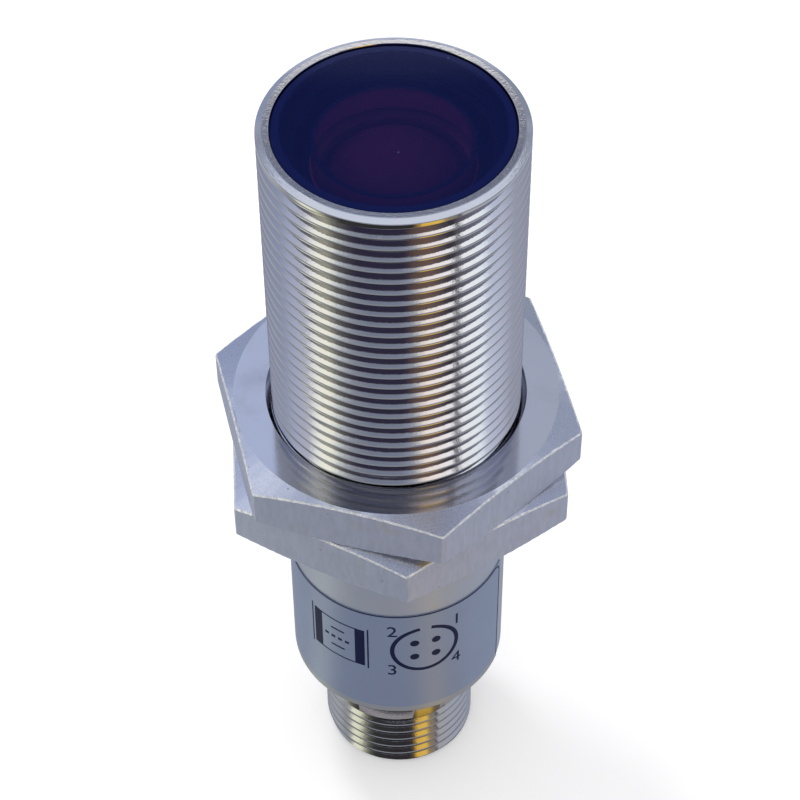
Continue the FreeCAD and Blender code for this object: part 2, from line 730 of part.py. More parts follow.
def pin_holes(body, top, hole):
    """Four pin holes down from the top of an insert."""
    drill = circle_sketch(body, body.Name + "_hole", hole, across="pin_offset", deep="pin_offset", lift=top)
    repeat(body, pocket(body, drill), drill, 4)


def contact_carrier():
    """Plastic insert that holds the pins, with a coding nose along the cavity's wall."""
    body = insert_disc("contact_carrier", "carrier_foot", "carrier_top")
    nose = outline_sketch(body, "coding_nose", "XY_Plane", (
        ("-nose_half", "socket_rad - slip_gap - nose_thick"),
        ("nose_half", "socket_rad - slip_gap - nose_thick"),
        ("nose_half", "socket_rad - slip_gap - seat_gap"),
        ("-nose_half", "socket_rad - slip_gap - seat_gap"),
    ), lift="nose_tip")
    pad(body, nose, "nose_length + nose_thick")
    pin_holes(body, "carrier_top", "pin_rad + slip_gap")
    return body


def potting_plug():
    """Resin cast behind the insert, round the solder tails."""
    body = insert_disc("potting_plug", "carrier_top", "potting_top")
    pin_holes(body, "potting_top", "tail_rad + slip_gap")
    return body


def contact_pins():
    """Four turned pins: rounded tip, full radius through the carrier, thin solder tail."""
    pins = []
    for number, (across, deep) in enumerate((("", ""), ("-", ""), ("-", "-"), ("", "-")), start=1):
        pin = turned("contact_pin_%d" % number, (
            ("0", "pin_recess", "dome"),
            ("pin_rad", "pin_recess + pin_nose"),
            ("pin_rad", "carrier_top"),
            ("tail_rad", "carrier_top"),
            ("tail_rad", "main_foot + tail_end"),
            ("0", "main_foot + tail_end"),
        ))
        pins.append(place(pin, across + "pin_offset", deep + "pin_offset"))
    return join("contact_pins", "Part::Compound", pins)


def label():
    """Thin foil round the smooth rear of the barrel, with a gap between its two edges."""
    body = turned("label", (
        ("rear_rad", "stub_length + label_gap"),
        ("rear_rad + label_thick", "stub_length + label_gap"),
        ("rear_rad + label_thick", "stub_length + label_gap + label_tall"),
        ("rear_rad", "stub_length + label_gap + label_tall"),
    ), sweep="label_wrap_angle")
    body.Placement = Placement(Vector(), Rotation(Vector(0, 0, 1), 1))
    body.setExpression("Placement.Rotation.Angle", bound("label_start_angle"))
    return body


def lock_nut(name, lift, turn):
    """Hexagon nut with chamfered corners on both faces and a chamfered bore."""
    blank = turned(name + "_blank", (
        ("nut_bore", "nut_lead"),
        ("nut_bore + nut_lead", "0"),
        ("nut_face_rad", "0"),
        ("nut_corner + nut_corner - nut_face_rad", "nut_drop + nut_drop"),
        ("nut_corner + nut_corner - nut_face_rad", "nut_height - nut_drop - nut_drop"),
        ("nut_face_rad", "nut_height"),
        ("nut_bore + nut_lead", "nut_height"),
        ("nut_bore", "nut_height - nut_lead"),
    ))
    prism = doc.addObject("PartDesign::Body", name + "_prism")
    hexagon = outline_sketch(prism, name + "_hexagon", "XY_Plane", (
        ("nut_corner", "0"),
        ("nut_corner_half", "nut_half"),
        ("-nut_corner_half", "nut_half"),
        ("-nut_corner", "0"),
        ("-nut_corner_half", "-nut_half"),
        ("nut_corner_half", "-nut_half"),
    ))
    pad(prism, hexagon, "nut_height")
    nut = doc.addObject("Part::Common", name)
    nut.Base = prism
    nut.Tool = blank
    nut.Placement = Placement(Vector(), Rotation(Vector(0, 0, 1), 1))
    nut.setExpression("Placement.Rotation.Angle", bound(turn))
    return place(nut, up=lift)


def build():
    """All pieces, in the order of the bench: rear plug, boards, optics, window, outside."""
    nodes = [connector_shell(), contact_carrier(), contact_pins(), potting_plug()]
    nodes.append(seal("connector_seal", "groove_foot"))
    nodes.append(round_board(
        "connector_board", "connector_board_foot", "main_foot",
        "tail_rad + slip_gap", "pin_offset", "pin_offset", 4,
    ))
    nodes.append(main_board())
    nodes += board_parts()
    nodes.append(round_board(
        "front_board", "main_top", "front_board_top",
        "lead_rad + slip_gap", "lead_circle", "0", 3,
    ))
    nodes.append(insulating_sleeve())
    nodes += [optics_holder(), laser_diode(), diode_clamp_ring(), beam_splitter()]
    nodes += receiver_side()
    nodes += [objective_lens(), lens_clamp_ring()]
    nodes += [front_window(), seal("window_seal", "window_seal_top - groove_wide")]
    nodes += [barrel(), label()]
    nodes.append(lock_nut("lower_nut", "nut_place", "lower_nut_angle"))
    nodes.append(lock_nut("upper_nut", "nut_place + nut_height", "upper_nut_angle"))
    return nodes


def check(nodes):
    """Stop if an object failed or a piece's shape is empty or invalid."""
    for item in doc.Objects:
        if "Invalid" in item.State or "Error" in item.State:
            raise RuntimeError("failed object: " + item.Name)
    for node in nodes:
        if node.Shape.isNull() or not node.Shape.isValid() or not node.Shape.Solids:
            raise RuntimeError("bad shape: " + node.Label)


def main():
    """Fill the sheet, build, check and write one file for each piece."""
    fill_sheet()
    nodes = build()
    doc.recompute()
    check(nodes)
    os.makedirs("parts", exist_ok=True)
    for node in nodes:
        node.Shape.exportStep("parts/%s.step" % node.Label)
        print("%-22s %d solids %10.3f mm3" % (node.Label, len(node.Shape.Solids), node.Shape.Volume))


main()
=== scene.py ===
"""Looks of a laser photoelectric sensor with an M18 barrel, two lock nuts and an M12 plug."""

import math

import bmesh
import bpy
import numpy as np
from bpy.props import FloatProperty, FloatVectorProperty, IntProperty, PointerProperty
from mathutils import Matrix, Vector


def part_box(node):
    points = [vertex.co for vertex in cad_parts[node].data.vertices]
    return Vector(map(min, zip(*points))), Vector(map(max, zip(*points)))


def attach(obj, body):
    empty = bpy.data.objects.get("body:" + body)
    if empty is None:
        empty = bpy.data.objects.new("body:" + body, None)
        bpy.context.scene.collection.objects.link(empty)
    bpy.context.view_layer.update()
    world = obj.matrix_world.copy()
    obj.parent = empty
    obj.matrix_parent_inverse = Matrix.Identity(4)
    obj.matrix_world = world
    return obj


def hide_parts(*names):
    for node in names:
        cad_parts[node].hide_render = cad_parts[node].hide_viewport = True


bl_info = {
    "name": "Laser sensor looks",
    "version": (1, 0, 0),
    "blender": (4, 5, 0),
    "location": "3D View > Sidebar > Sensor",
    "description": "Dresses the packed sensor: threads, nuts, window, label, plug and stage",
    "category": "Object",
}

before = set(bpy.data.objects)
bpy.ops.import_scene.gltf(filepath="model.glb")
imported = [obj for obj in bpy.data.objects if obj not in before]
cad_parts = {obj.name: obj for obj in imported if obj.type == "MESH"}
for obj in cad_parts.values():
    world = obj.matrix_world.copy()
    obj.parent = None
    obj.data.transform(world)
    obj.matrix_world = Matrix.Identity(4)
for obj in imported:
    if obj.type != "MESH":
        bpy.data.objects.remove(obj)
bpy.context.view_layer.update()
MM = 0.001
FRONT = -math.pi / 2
BODY = "sensor_body"


def size(name, millimetres, about):
    """A length that the user can change, given in millimetres and kept in metres."""
    return FloatProperty(
        name=name, description=about, default=millimetres * MM, precision=5,
        subtype="DISTANCE", unit="LENGTH",
    )


def share(name, value, about):
    """A plain number from 0 up, such as a lamp's power."""
    return FloatProperty(name=name, description=about, default=value, min=0.0)


def colour(name, red_green_blue, about):
    """A linear colour that the user can change."""
    return FloatVectorProperty(
        name=name, description=about, default=red_green_blue, size=3, subtype="COLOR", min=0.0,
    )


class ThreadSizes(bpy.types.PropertyGroup):
    """Both threads: metric fine, 60 degree profile."""

    pitch: size("Pitch", 1.0, "Advance of the thread per turn")
    depth: size("Depth", 0.6134, "Crest to root")
    crest: size("Crest", 0.125, "Width of the flat crest")
    root: size("Root", 0.1667, "Width of the root")
    soft: size("Softening", 0.03, "Rounding of the crest's edges")
    columns: IntProperty(name="Columns", description="Points per turn", default=180, min=24)


class BarrelSizes(bpy.types.PropertyGroup):
    """The turned barrel."""

    radius: size("Thread radius", 9.0, "M18 outer radius")
    rear_radius: size("Rear radius", 8.27, "Smooth rear of the barrel")
    rear_chamfer: size("Rear chamfer", 0.35, "Chamfer at the rear edge")
    thread_foot: size("Thread foot", 27.85, "Start of the cone up to the thread")
    crest_height: size("Crest height", 63.48, "Height of the last full crest at the front")
    land_foot: size("Land foot", 64.42, "Where the thread fades into the plain land")
    land_full: size("Land", 64.54, "Where the plain land is full")
    bevel_drop: size("Bevel drop", 0.22, "Height of the bevel at the rim")
    bevel_wide: size("Bevel width", 0.42, "Width of the bevel at the rim")
    seat_radius: size("Seat radius", 8.1, "Seat of the window")
    seat_depth: size("Seat depth", 1.32, "Rim to the seat's floor")
    bore_radius: size("Bore radius", 7.4, "Bore behind the seat")
    lip_radius: size("Lip radius", 6.74, "Hole in the lip at the rear")
    lip_thick: size("Lip", 1.2, "Thickness of that lip")
    soft: size("Edge softening", 0.035, "Worn edge on every corner")


class ShellSizes(bpy.types.PropertyGroup):
    """The plug stub."""

    radius: size("Thread radius", 6.0, "M12 outer radius")
    chamfer: size("Chamfer", 0.5, "Chamfer at the plug's end")
    crest_height: size("Crest height", 5.4, "Height of the last full crest at the front")
    land_foot: size("Land foot", 6.05, "Where the thread fades into the plain band")
    land_full: size("Land", 6.4, "Where the plain band is full")
    stub_length: size("Stub length", 10.45, "Plug end to the barrel's rear face")
    neck_radius: size("Neck radius", 6.7, "Shoulder in the barrel's lip")
    collar_foot: size("Collar foot", 11.67, "Start of the collar inside the barrel")
    collar_radius: size("Collar radius", 7.36, "Collar inside the barrel")
    groove_radius: size("Groove radius", 6.55, "Floor of the seal groove")
    groove_inset: size("Groove inset", 1.0, "Collar foot to the groove")
    groove_wide: size("Groove width", 0.93, "Width of the groove")
    collar_length: size("Collar length", 3.0, "Length of the collar")
    insert_radius: size("Insert radius", 5.0, "Bore that holds the contact carrier")
    socket_depth: size("Socket depth", 8.6, "Depth of the plug's cavity")
    socket_radius: size("Socket radius", 4.3, "Radius of the plug's cavity")
    socket_lead: size("Socket lead", 0.3, "Chamfer at the cavity's mouth")


class NutSizes(bpy.types.PropertyGroup):
    """The two lock nuts."""

    across_flats: size("Across flats", 24.0, "Width of the hexagon")
    bore_radius: size("Bore radius", 9.05, "Radius of the bore")
    lead: size("Lead", 0.38, "Chamfer at the bore")
    face_radius: size("Face radius", 11.75, "Edge of the polished round face")
    corner_drop: size("Corner drop", 0.54, "Drop of the turned chamfer at a corner")
    corner_worn: size("Corner wear", 0.05, "How much a sharp corner is worn off")
    edge: size("Edge", 0.13, "Width of the burr along the hexagon's edges")
    burr: size("Burr", 0.022, "Unevenness of that burr")


class LabelSizes(bpy.types.PropertyGroup):
    """Print on the foil. Places count from the front, along the foil and up from its foot."""

    foot: size("Foot", 10.95, "Foot of the foil")
    height: size("Height", 12.35, "Height of the foil")
    radius: size("Radius", 8.35, "Outside of the foil")
    right_edge: size("Right edge", 10.055, "Front to the foil's right edge")
    left_edge: size("Left edge", -38.0, "Front to the foil's other edge, round the back")
    margin: size("Margin", 0.6, "Height of the bare margin at the foil's foot")
    line: size("Line", 0.13, "Width of the border line")
    corner: size("Corner", 1.1, "Radius of the border line's corner")
    ink_thick: size("Ink", 0.008, "Thickness of the ink")
    ink_step: size("Ink step", 0.3, "Longest straight piece of ink round the foil")


class Colours(bpy.types.PropertyGroup):
    """Colours of the finishes."""

    nickel: colour("Nickel", (0.60, 0.59, 0.62), "Bright plating on barrel and plug")
    nut_nickel: colour("Nut nickel", (0.62, 0.63, 0.70), "Satin plating on the nuts")
    nut_satin: colour("Nut flats", (0.37, 0.40, 0.52), "Drawn flats of the nuts")
    rear_satin: colour("Satin rear", (0.34, 0.37, 0.46), "Smooth rear of the barrel")
    stain: colour("Stain", (0.50, 0.47, 0.40), "Faint stain in the plating")
    foil: colour("Foil", (0.200, 0.245, 0.370), "Label foil")
    margin: colour("Margin", (0.27, 0.285, 0.32), "Bare margin at the foil's foot")
    ink: colour("Ink", (0.006, 0.010, 0.045), "Print on the label")
    window: colour("Window", (0.0050, 0.0088, 0.064), "Dark filter window")
    lens_coat: colour("Lens coat", (0.135, 0.022, 0.11), "Coated lens behind the window")
    brass: colour("Brass", (0.72, 0.50, 0.20), "Bare brass")
    gold: colour("Gold", (0.85, 0.58, 0.22), "Gold plating")
    black: colour("Black", (0.012, 0.012, 0.014), "Black mouldings")
    board: colour("Board", (0.015, 0.10, 0.04), "Circuit board")


class StageSizes(bpy.types.PropertyGroup):
    """Camera, floor and lamps."""

    camera_side: size("Camera side", 0.27, "Camera's place to the right")
    camera_back: size("Camera back", 118.84, "Camera's distance in front of the axis")
    camera_height: size("Camera height", 171.83, "Camera's height")
    aim_height: size("Aim height", 38.35, "Height on the axis that the camera looks at")
    roll: FloatProperty(
        name="Roll", description="Camera's tilt to one side", default=math.radians(-0.45),
        subtype="ANGLE", unit="ROTATION",
    )
    lens: FloatProperty(name="Lens", description="Focal length", default=110.85, unit="CAMERA")
    floor: size("Floor", 3000.0, "Width of the floor")
    ambient: share("Ambient", 0.75, "Level of the plain light from all sides")
    key: share("Key lamp", 0.55, "Power of the key lamp, in watts")
    fill: share("Fill lamp", 0.25, "Power of the fill lamp, in watts")


def maths(operation, turned=False):
    """A method of Value that adds one Math node, with its values in turned order if asked."""

    def method(self, *others):
        values = (*others, self) if turned else (self, *others)
        return self.finish.node("Math", {"operation": operation}, dict(enumerate(values)))

    return method


class Value:
    """A socket in a finish's node tree; an expression on it adds the Math nodes."""

    def __init__(self, finish, socket):
        self.finish = finish
        self.socket = socket

    __add__ = __radd__ = maths("ADD")
    __sub__ = maths("SUBTRACT")
    __rsub__ = maths("SUBTRACT", turned=True)
    __mul__ = __rmul__ = maths("MULTIPLY")
    __truediv__ = maths("DIVIDE")
    __pow__ = maths("POWER")
    __abs__ = maths("ABSOLUTE")
    at_least = maths("MAXIMUM")
    at_most = maths("MINIMUM")
    angle_from = maths("ARCTAN2")

    def rise(self, low, high):
        """0 below low, 1 above high, smooth between."""
        inputs = {"Value": self, "From Min": low, "From Max": high}
        settings = {"interpolation_type": "SMOOTHSTEP"}
        return self.finish.node("MapRange", settings, inputs, "Result")


class Finish:
    """A procedural material or world, built node by node."""

    def __init__(self, name, constants=None, tree=None):
        if tree is None:
            self.material = bpy.data.materials.new(name)
            self.material.use_nodes = True
            tree = self.material.node_tree
        self.tree = tree
        self.shader = tree.nodes.get("Principled BSDF")
        for socket, value in (constants or {}).items():
            self.set(socket, value)
        self.cache = {}

    def link(self, value, socket):
        """Sets a socket to a constant, or links a value to it."""
        if isinstance(value, Value):
            self.tree.links.new(value.socket, socket)
        elif hasattr(value, "__len__") and len(value) == 3 and socket.type == "RGBA":
            socket.default_value = (*value, 1.0)
        else:
            socket.default_value = value

    def set(self, socket, value):
        """Sets one socket of the Principled shader."""
        self.link(value, self.shader.inputs[socket])

    def node(self, kind, settings=None, inputs=None, output=0):
        """Adds one node of any type: settings first, then the values or links of its sockets."""
        node = self.tree.nodes.new("ShaderNode" + kind)
        for name, value in (settings or {}).items():
            if name == "stops":
                ramp = node.color_ramp
                while len(ramp.elements) < len(value):
                    ramp.elements.new(1.0)
                for element, (place, tone) in zip(ramp.elements, value):
                    element.position = place
                    element.color = (*tone, 1.0)
            else:
                setattr(node, name, value)
        for name, value in (inputs or {}).items():
            self.link(value, node.inputs[name])
        return Value(self, node.outputs[output])

    def place(self, stretch=(1.0, 1.0, 1.0)):
        """Object coordinates in metres, stretched along each axis."""
        if stretch not in self.cache:
            inputs = {0: self.node("TexCoord", output="Object"), 1: stretch}
            self.cache[stretch] = self.node("VectorMath", {"operation": "MULTIPLY"}, inputs)
        return self.cache[stretch]

    def axes(self):
        """Object coordinates X, Y and Z as three numbers."""
        split = self.node("SeparateXYZ", inputs={0: self.place()})
        return [Value(self, socket) for socket in split.socket.node.outputs]

    def noise(self, grain, detail=3.0, rough=0.55, stretch=(1.0, 1.0, 1.0)):
        """Noise from 0 to 1, with features about one grain wide, in millimetres."""
        return self.node("TexNoise", {}, {
            "Vector": self.place(stretch), "Scale": 1.0 / (grain * MM), "Detail": detail,
            "Roughness": rough,
        }, "Fac")

    def cells(self, grain):
        """Distance to the nearest of many scattered points, in grains; a grain in millimetres."""
        sockets = {"Vector": self.place(), "Scale": 1.0 / (grain * MM)}
        return self.node("TexVoronoi", {}, sockets, "Distance")

    def specks(self, grain, low, high, patch, start, full, detail=3.0):
        """Scattered specks, only in some patches; grain and patch in millimetres."""
        spots = 1.0 - self.cells(grain).rise(low, high)
        return spots * self.noise(patch, detail).rise(start, full)

    def mix(self, factor, first, second):
        """Mix of two colours."""
        return self.node("Mix", {"data_type": "RGBA"}, {0: factor, 6: first, 7: second}, 2)

    def radius(self):
        """Distance from the Z axis."""
        x, y, _ = self.axes()
        return (x * x + y * y) ** 0.5

    def rings(self, per_metre, detail, rough):
        """Turning marks round the Z axis, from 0 to 1."""
        return self.node(
            "TexNoise", {"noise_dimensions": "1D"},
            {"W": self.radius(), "Scale": per_metre, "Detail": detail, "Roughness": rough}, "Fac",
        )

    def done(self, body, rough, height=None, millimetres=0.0, strength=1.0):
        """Sets colour, roughness and relief, with a height from 0 to 1; gives the material."""
        self.set("Base Color", body)
        self.set("Roughness", rough)
        if height is not None:
            sockets = {"Height": height, "Distance": millimetres * MM, "Strength": strength}
            self.set("Normal", self.node("Bump", {}, sockets, "Normal"))
        return self.material


def tint(tone, factor):
    """A colour made lighter or darker, in Python."""
    return tuple(min(1.0, part * factor) for part in tone)


def bright_nickel(name, base, stain, grain=0.22):
    """Bright turned plating with fine turning lines, dull patches and a few pits."""
    finish = Finish(name, {"Metallic": 1.0})
    patches = finish.noise(3.0, 4.0)
    lines = finish.noise(0.5, 2.0, 0.6, (0.15, 0.15, 8.0))
    speck = finish.noise(grain, 3.0, 0.7)
    return finish.done(
        finish.mix(patches.rise(0.6, 0.9) * 0.5, base, stain),
        0.04 + 0.04 * patches.rise(0.3, 0.75) + 0.10 * speck.rise(0.55, 0.8),
        lines * 0.4 + speck, 0.0045, 0.8,
    )


def nut_face(base, stain):
    """Faced, almost mirror-bright plating with concentric turning marks."""
    finish = Finish("nut_face", {"Metallic": 1.0})
    rings = finish.rings(9000.0, 3.0, 0.6)
    haze = finish.noise(4.0, 4.0)
    body = finish.mix(haze.rise(0.5, 0.8), base, tint(base, 0.85))
    body = finish.mix(finish.specks(0.9, 0.05, 0.12, 2.5, 0.55, 0.62), body, stain)
    rough = 0.07 + 0.06 * haze.rise(0.35, 0.75) + 0.05 * rings
    return finish.done(body, rough, rings, 0.0016, 0.8)


def nut_chamfer(base, stain):
    """Turned corner chamfer: streaky, with pits and fine scratches."""
    finish = Finish("nut_chamfer", {"Metallic": 1.0})
    rings = finish.rings(5200.0, 4.0, 0.7)
    grit = finish.noise(0.22, 4.0, 0.7)
    pits = finish.specks(0.5, 0.08, 0.2, 1.6, 0.52, 0.6)
    return finish.done(
        finish.mix(pits * 0.7, base, tint(stain, 0.6)), 0.14 + 0.18 * grit + 0.06 * rings,
        rings * 0.6 + grit * 0.3 - pits, 0.005, 0.8,
    )


def nut_flat(base, stain):
    """Matte drawn flat with a fine grain and faint yellow stains."""
    finish = Finish("nut_flat", {"Metallic": 0.45})
    grain = finish.noise(0.12, 5.0, 0.8)
    cloud = finish.noise(2.2, 4.0, 0.6)
    pits = finish.specks(1.3, 0.04, 0.1, 3.0, 0.48, 0.58, 2.0)
    drawn = finish.noise(0.35, 3.0, 0.6, (1.0, 1.0, 0.25))
    worn = finish.mix(drawn.rise(0.3, 0.7), tint(base, 0.96), tint(base, 1.08))
    body = finish.mix(cloud.rise(0.55, 0.85) * 0.6, worn, stain)
    return finish.done(
        finish.mix(pits * 0.6, body, tint(stain, 0.5)), 0.46 + 0.12 * grain + 0.06 * cloud,
        grain * 0.7 + cloud * 0.8 + drawn * 0.25, 0.012, 0.6,
    )


def nut_edge(base):
    """Burr along the hexagon's edges: a beaded bump, and a colour lightened as a painted highlight.
    """
    finish = Finish("nut_edge", {"Metallic": 0.6})
    beads = finish.noise(0.3, 3.0, 0.7).rise(0.35, 0.6)
    return finish.done(
        # Painted highlight: the whole edge is lightened to 1.1 to 1.6 times the base colour, most
        # on the beads.
        finish.mix(beads, tint(base, 1.1), tint(base, 1.6)), 0.45 - 0.2 * beads, beads, 0.03,
    )


def plain_metal(name, base, dull=0.3):
    """Other bare or plated metal, with fine scratches."""
    finish = Finish(name, {"Metallic": 1.0})
    worn = finish.noise(0.8, 4.0, 0.7)
    body = finish.mix(worn.rise(0.4, 0.8), base, tint(base, 0.72))
    return finish.done(body, dull + 0.15 * worn, worn, 0.006, 0.7)


def moulding(name, base, dull=0.45, grain=0.25):
    """Plastic, rubber, resin or ceramic with a fine skin."""
    finish = Finish(name)
    skin = finish.noise(grain, 4.0, 0.65)
    body = finish.mix(finish.noise(2.5), tint(base, 0.82), tint(base, 1.18))
    return finish.done(body, dull + 0.14 * skin, skin, 0.012, 0.6)


def board_finish(base):
    """Green solder mask over the weave, with brighter lands under it."""
    finish = Finish("board_finish", {"Coat Weight": 0.3, "Coat Roughness": 0.2})
    weave = finish.noise(0.3, 2.0, 0.5, (1.0, 1.0, 3.0))
    lands = finish.cells(1.4).rise(0.18, 0.22)
    body = finish.mix(lands, tint(base, 2.2), base)
    return finish.done(body, 0.35 + 0.15 * weave, weave + lands * 0.5, 0.01, 0.5)


def film_finish():
    """Clear, slightly yellow insulating film."""
    finish = Finish("film_finish", {"Alpha": 0.35, "Specular IOR Level": 0.5})
    waves = finish.noise(3.0, 2.0)
    body = finish.mix(waves, (0.62, 0.55, 0.36), (0.74, 0.68, 0.50))
    return finish.done(body, 0.12 + 0.1 * waves, waves, 0.05, 0.4)


def glass_finish():
    """Clear glass of the beam splitter."""
    finish = Finish("glass_finish", {"Alpha": 0.4, "IOR": 1.52})
    haze = finish.noise(1.5)
    body = finish.mix(haze, (0.45, 0.55, 0.60), (0.55, 0.62, 0.66))
    return finish.done(body, 0.02 + 0.05 * haze)


def lens_finish(coat):
    """Lens with a dark purple coat that shows faintly through the window."""
    finish = Finish("lens_finish", {"IOR": 1.5, "Specular IOR Level": 0.04})
    haze = finish.noise(2.0)
    return finish.done(finish.mix(haze, tint(coat, 0.8), tint(coat, 1.3)), 0.30 + 0.06 * haze)


def window_finish(pane, coat):
    """Dark coated filter pane: mirror-smooth, lets a little of the lens show, with dust."""
    finish = Finish("window_finish", {
        "IOR": 1.5, "Specular IOR Level": 0.15, "Specular Tint": (0.35, 0.45, 1.0, 1.0),
    })
    z = finish.axes()[2]
    radius = finish.radius()
    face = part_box("front_window")[1].z

    def inside(low, high):
        return 1.0 - radius.rise(low * MM, high * MM)

    on_face = z.rise(face - 0.03 * MM, face - 0.01 * MM)
    back = z.rise(face - 1.25 * MM, face - 1.22 * MM)
    clear_face = inside(7.30, 7.60) * on_face
    clear_back = inside(4.80, 5.44) * back * (1.0 - on_face)
    clear = (clear_face * 0.35).at_least(clear_back * 0.9)
    skirt = inside(5.50, 5.60) * (1.0 - back)
    dust = finish.specks(1.1, 0.03, 0.06, 2.6, 0.50, 0.56, 2.0) * on_face
    finish.set("Alpha", (1.0 - clear).at_least(dust))
    body = finish.mix(skirt, pane, tint(coat, 2.4))
    body = finish.mix(dust * 0.5, body, (0.20, 0.30, 0.42))
    return finish.done(body, 0.035 + 0.3 * dust)


def foil_finish(base, margin, margin_top):
    """Satin silver-blue foil with a soft grain."""
    finish = Finish("foil_finish", {"Metallic": 0.25})
    grain = finish.noise(0.25, 4.0, 0.6)
    cloud = finish.noise(5.0)
    silver = finish.mix(cloud, tint(base, 0.94), tint(base, 1.08))
    printed = finish.axes()[2].rise(margin_top - 0.03 * MM, margin_top + 0.03 * MM)
    body = finish.mix(printed, margin, silver)
    return finish.done(body, 0.40 + 0.10 * grain, grain + cloud, 0.006, 0.5)


def ink_finish(base):
    """Printed ink, slightly uneven."""
    finish = Finish("ink_finish", {"Specular IOR Level": 0.12})
    uneven = finish.noise(0.3)
    body = finish.mix(uneven, tint(base, 0.8), tint(base, 1.3))
    return finish.done(body, 0.5 + 0.1 * uneven, uneven, 0.003, 0.5)


def satin_nickel(base, stain):
    """Satin plating of the barrel's smooth rear, with faint stains."""
    finish = Finish("satin_nickel", {"Metallic": 0.35})
    grain = finish.noise(0.14, 4.0, 0.75)
    lines = finish.noise(0.5, 2.0, 0.6, (0.15, 0.15, 6.0))
    cloud = finish.noise(2.0, 4.0, 0.6)
    body = finish.mix(cloud.rise(0.5, 0.8) * 0.5, base, stain)
    return finish.done(body, 0.42 + 0.12 * grain, grain * 0.6 + lines, 0.008, 0.6)


class Lathe:
    """Rows of points round the axis, skinned one after another into a closed mesh."""

    def __init__(self, angles):
        self.angles = np.asarray(angles, float)
        self.points = []
        self.quads = []
        self.zones = []
        self.count = 0

    def row(self, radius, height):
        """Adds a row; radius and height are one number or one for each angle."""
        wide = np.broadcast_to(radius, self.angles.shape)
        tall = np.broadcast_to(height, self.angles.shape)
        self.points.append(np.column_stack((
            wide * np.cos(self.angles), wide * np.sin(self.angles), tall,
        )))
        self.count += len(self.angles)
        return np.arange(self.count - len(self.angles), self.count)

    def skin(self, lower, upper, zone=0):
        """Quads between two rows, facing out where the second row is above the first."""
        quads = np.column_stack((lower, np.roll(lower, -1), np.roll(upper, -1), upper))
        self.quads.append(quads)
        self.zones.append(np.full(len(quads), zone))

    def run(self, start, profile, zone=0):
        """Skins a row for each point of the profile, from the given row; returns the last."""
        for radius, height in profile:
            after = self.row(radius, height)
            self.skin(start, after, zone)
            start = after
        return start

    def thread(self, sizes, low, high, crest, wall, major, strength):
        """Right-handed helical band between two heights; returns its lowest and highest row.

        crest is the height of a crest at the first angle, wall(z) the plain form that the
        thread is cut into, and strength(z) its depth from 0 to 1.
        """
        pitch, full, soft = sizes.pitch, sizes.depth, sizes.soft
        crest_end = sizes.crest / 2
        root_start = (pitch - sizes.root) / 2
        steep = full / (root_start - crest_end)
        little = soft * steep
        profile = (
            (soft - crest_end, 0.0),
            (crest_end - soft, 0.0), (crest_end + soft, little),
            (root_start - soft, full - little), (root_start + soft, full),
            (pitch - root_start - soft, full), (pitch - root_start + soft, full - little),
            (pitch - crest_end - soft, little),
        )
        columns = len(self.angles)
        first = math.floor((low - crest) / pitch) - 2
        last = math.ceil((high - crest) / pitch) + 1
        turns = np.arange(first, last + 1)
        offset = np.array([place for place, _ in profile])
        cut = np.array([deep for _, deep in profile])
        heights = (turns[:, None] * pitch + offset[None, :]).ravel()
        heights = crest + heights[:, None] + pitch * np.arange(columns)[None, :] / columns
        heights = np.clip(heights, low, high)
        depth = np.tile(cut, len(turns))[:, None] * strength(heights)
        radii = np.minimum(wall(heights), major - depth)
        rows = [self.row(radii[i], heights[i]) for i in range(len(heights))]
        grid = np.array(rows)
        step = len(profile)
        following = np.roll(grid, -1, axis=1)
        following[:-step, -1] = grid[step:, 0]
        following[-step:, -1] = grid[-1, 0]
        quads = np.stack((grid[:-1], following[:-1], following[1:], grid[1:]), axis=-1)
        self.quads.append(quads.reshape(-1, 4))
        self.zones.append(np.zeros(len(self.quads[-1]), int))
        return rows[0], rows[-1]

    def piece(self, name, body, finishes, node, slot, sharp=20.0):
        """Makes the mesh, drops what has collapsed, and lets it stand for a CAD node."""
        mesh = bpy.data.meshes.new(name)
        mesh.from_pydata(
            np.concatenate(self.points).tolist(), [], np.concatenate(self.quads).tolist(),
        )
        mesh.polygons.foreach_set("material_index", np.concatenate(self.zones).astype(np.int32))
        return finish_piece(mesh, name, body, finishes, node, sharp)


def finish_piece(mesh, name, body, finishes, node, sharp=20.0):
    """Welds and shades a mesh that rides on a body, in place of a CAD node if one is given."""
    work = bmesh.new()
    work.from_mesh(mesh)
    bmesh.ops.remove_doubles(work, verts=work.verts, dist=1e-7)
    bmesh.ops.dissolve_degenerate(work, edges=work.edges, dist=1e-8)
    bmesh.ops.recalc_face_normals(work, faces=work.faces)
    work.to_mesh(mesh)
    work.free()
    for finish in finishes:
        mesh.materials.append(finish)
    mesh.shade_smooth()
    mesh.set_sharp_from_angle(angle=math.radians(sharp))
    piece = added(name, mesh)
    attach(piece, body)
    if node:
        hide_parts(node)
    return piece


def softened(profile, amount):
    """Each corner of an open profile, apart from its two ends, cut off by a small chamfer."""
    points = [Vector(point) for point in profile]
    soft = [points[0]]
    for before, corner, after in zip(points, points[1:], points[2:]):
        for other in (before, after):
            way = other - corner
            soft.append(corner + way * min(0.3, amount / way.length))
    soft.append(points[-1])
    return [tuple(point) for point in soft]


def added(name, data):
    """A new object in the scene."""
    thing = bpy.data.objects.new(name, data)
    bpy.context.scene.collection.objects.link(thing)
    return thing


def give(finish, *nodes):
    """Gives a finish to CAD nodes that stay as they are."""
    for name in nodes:
        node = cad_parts[name]
        node.data.materials.clear()
        node.data.materials.append(finish)


def column_angles(columns):
    """Evenly spread angles, the first at the front."""
    return FRONT + 2 * math.pi * np.arange(columns) / columns


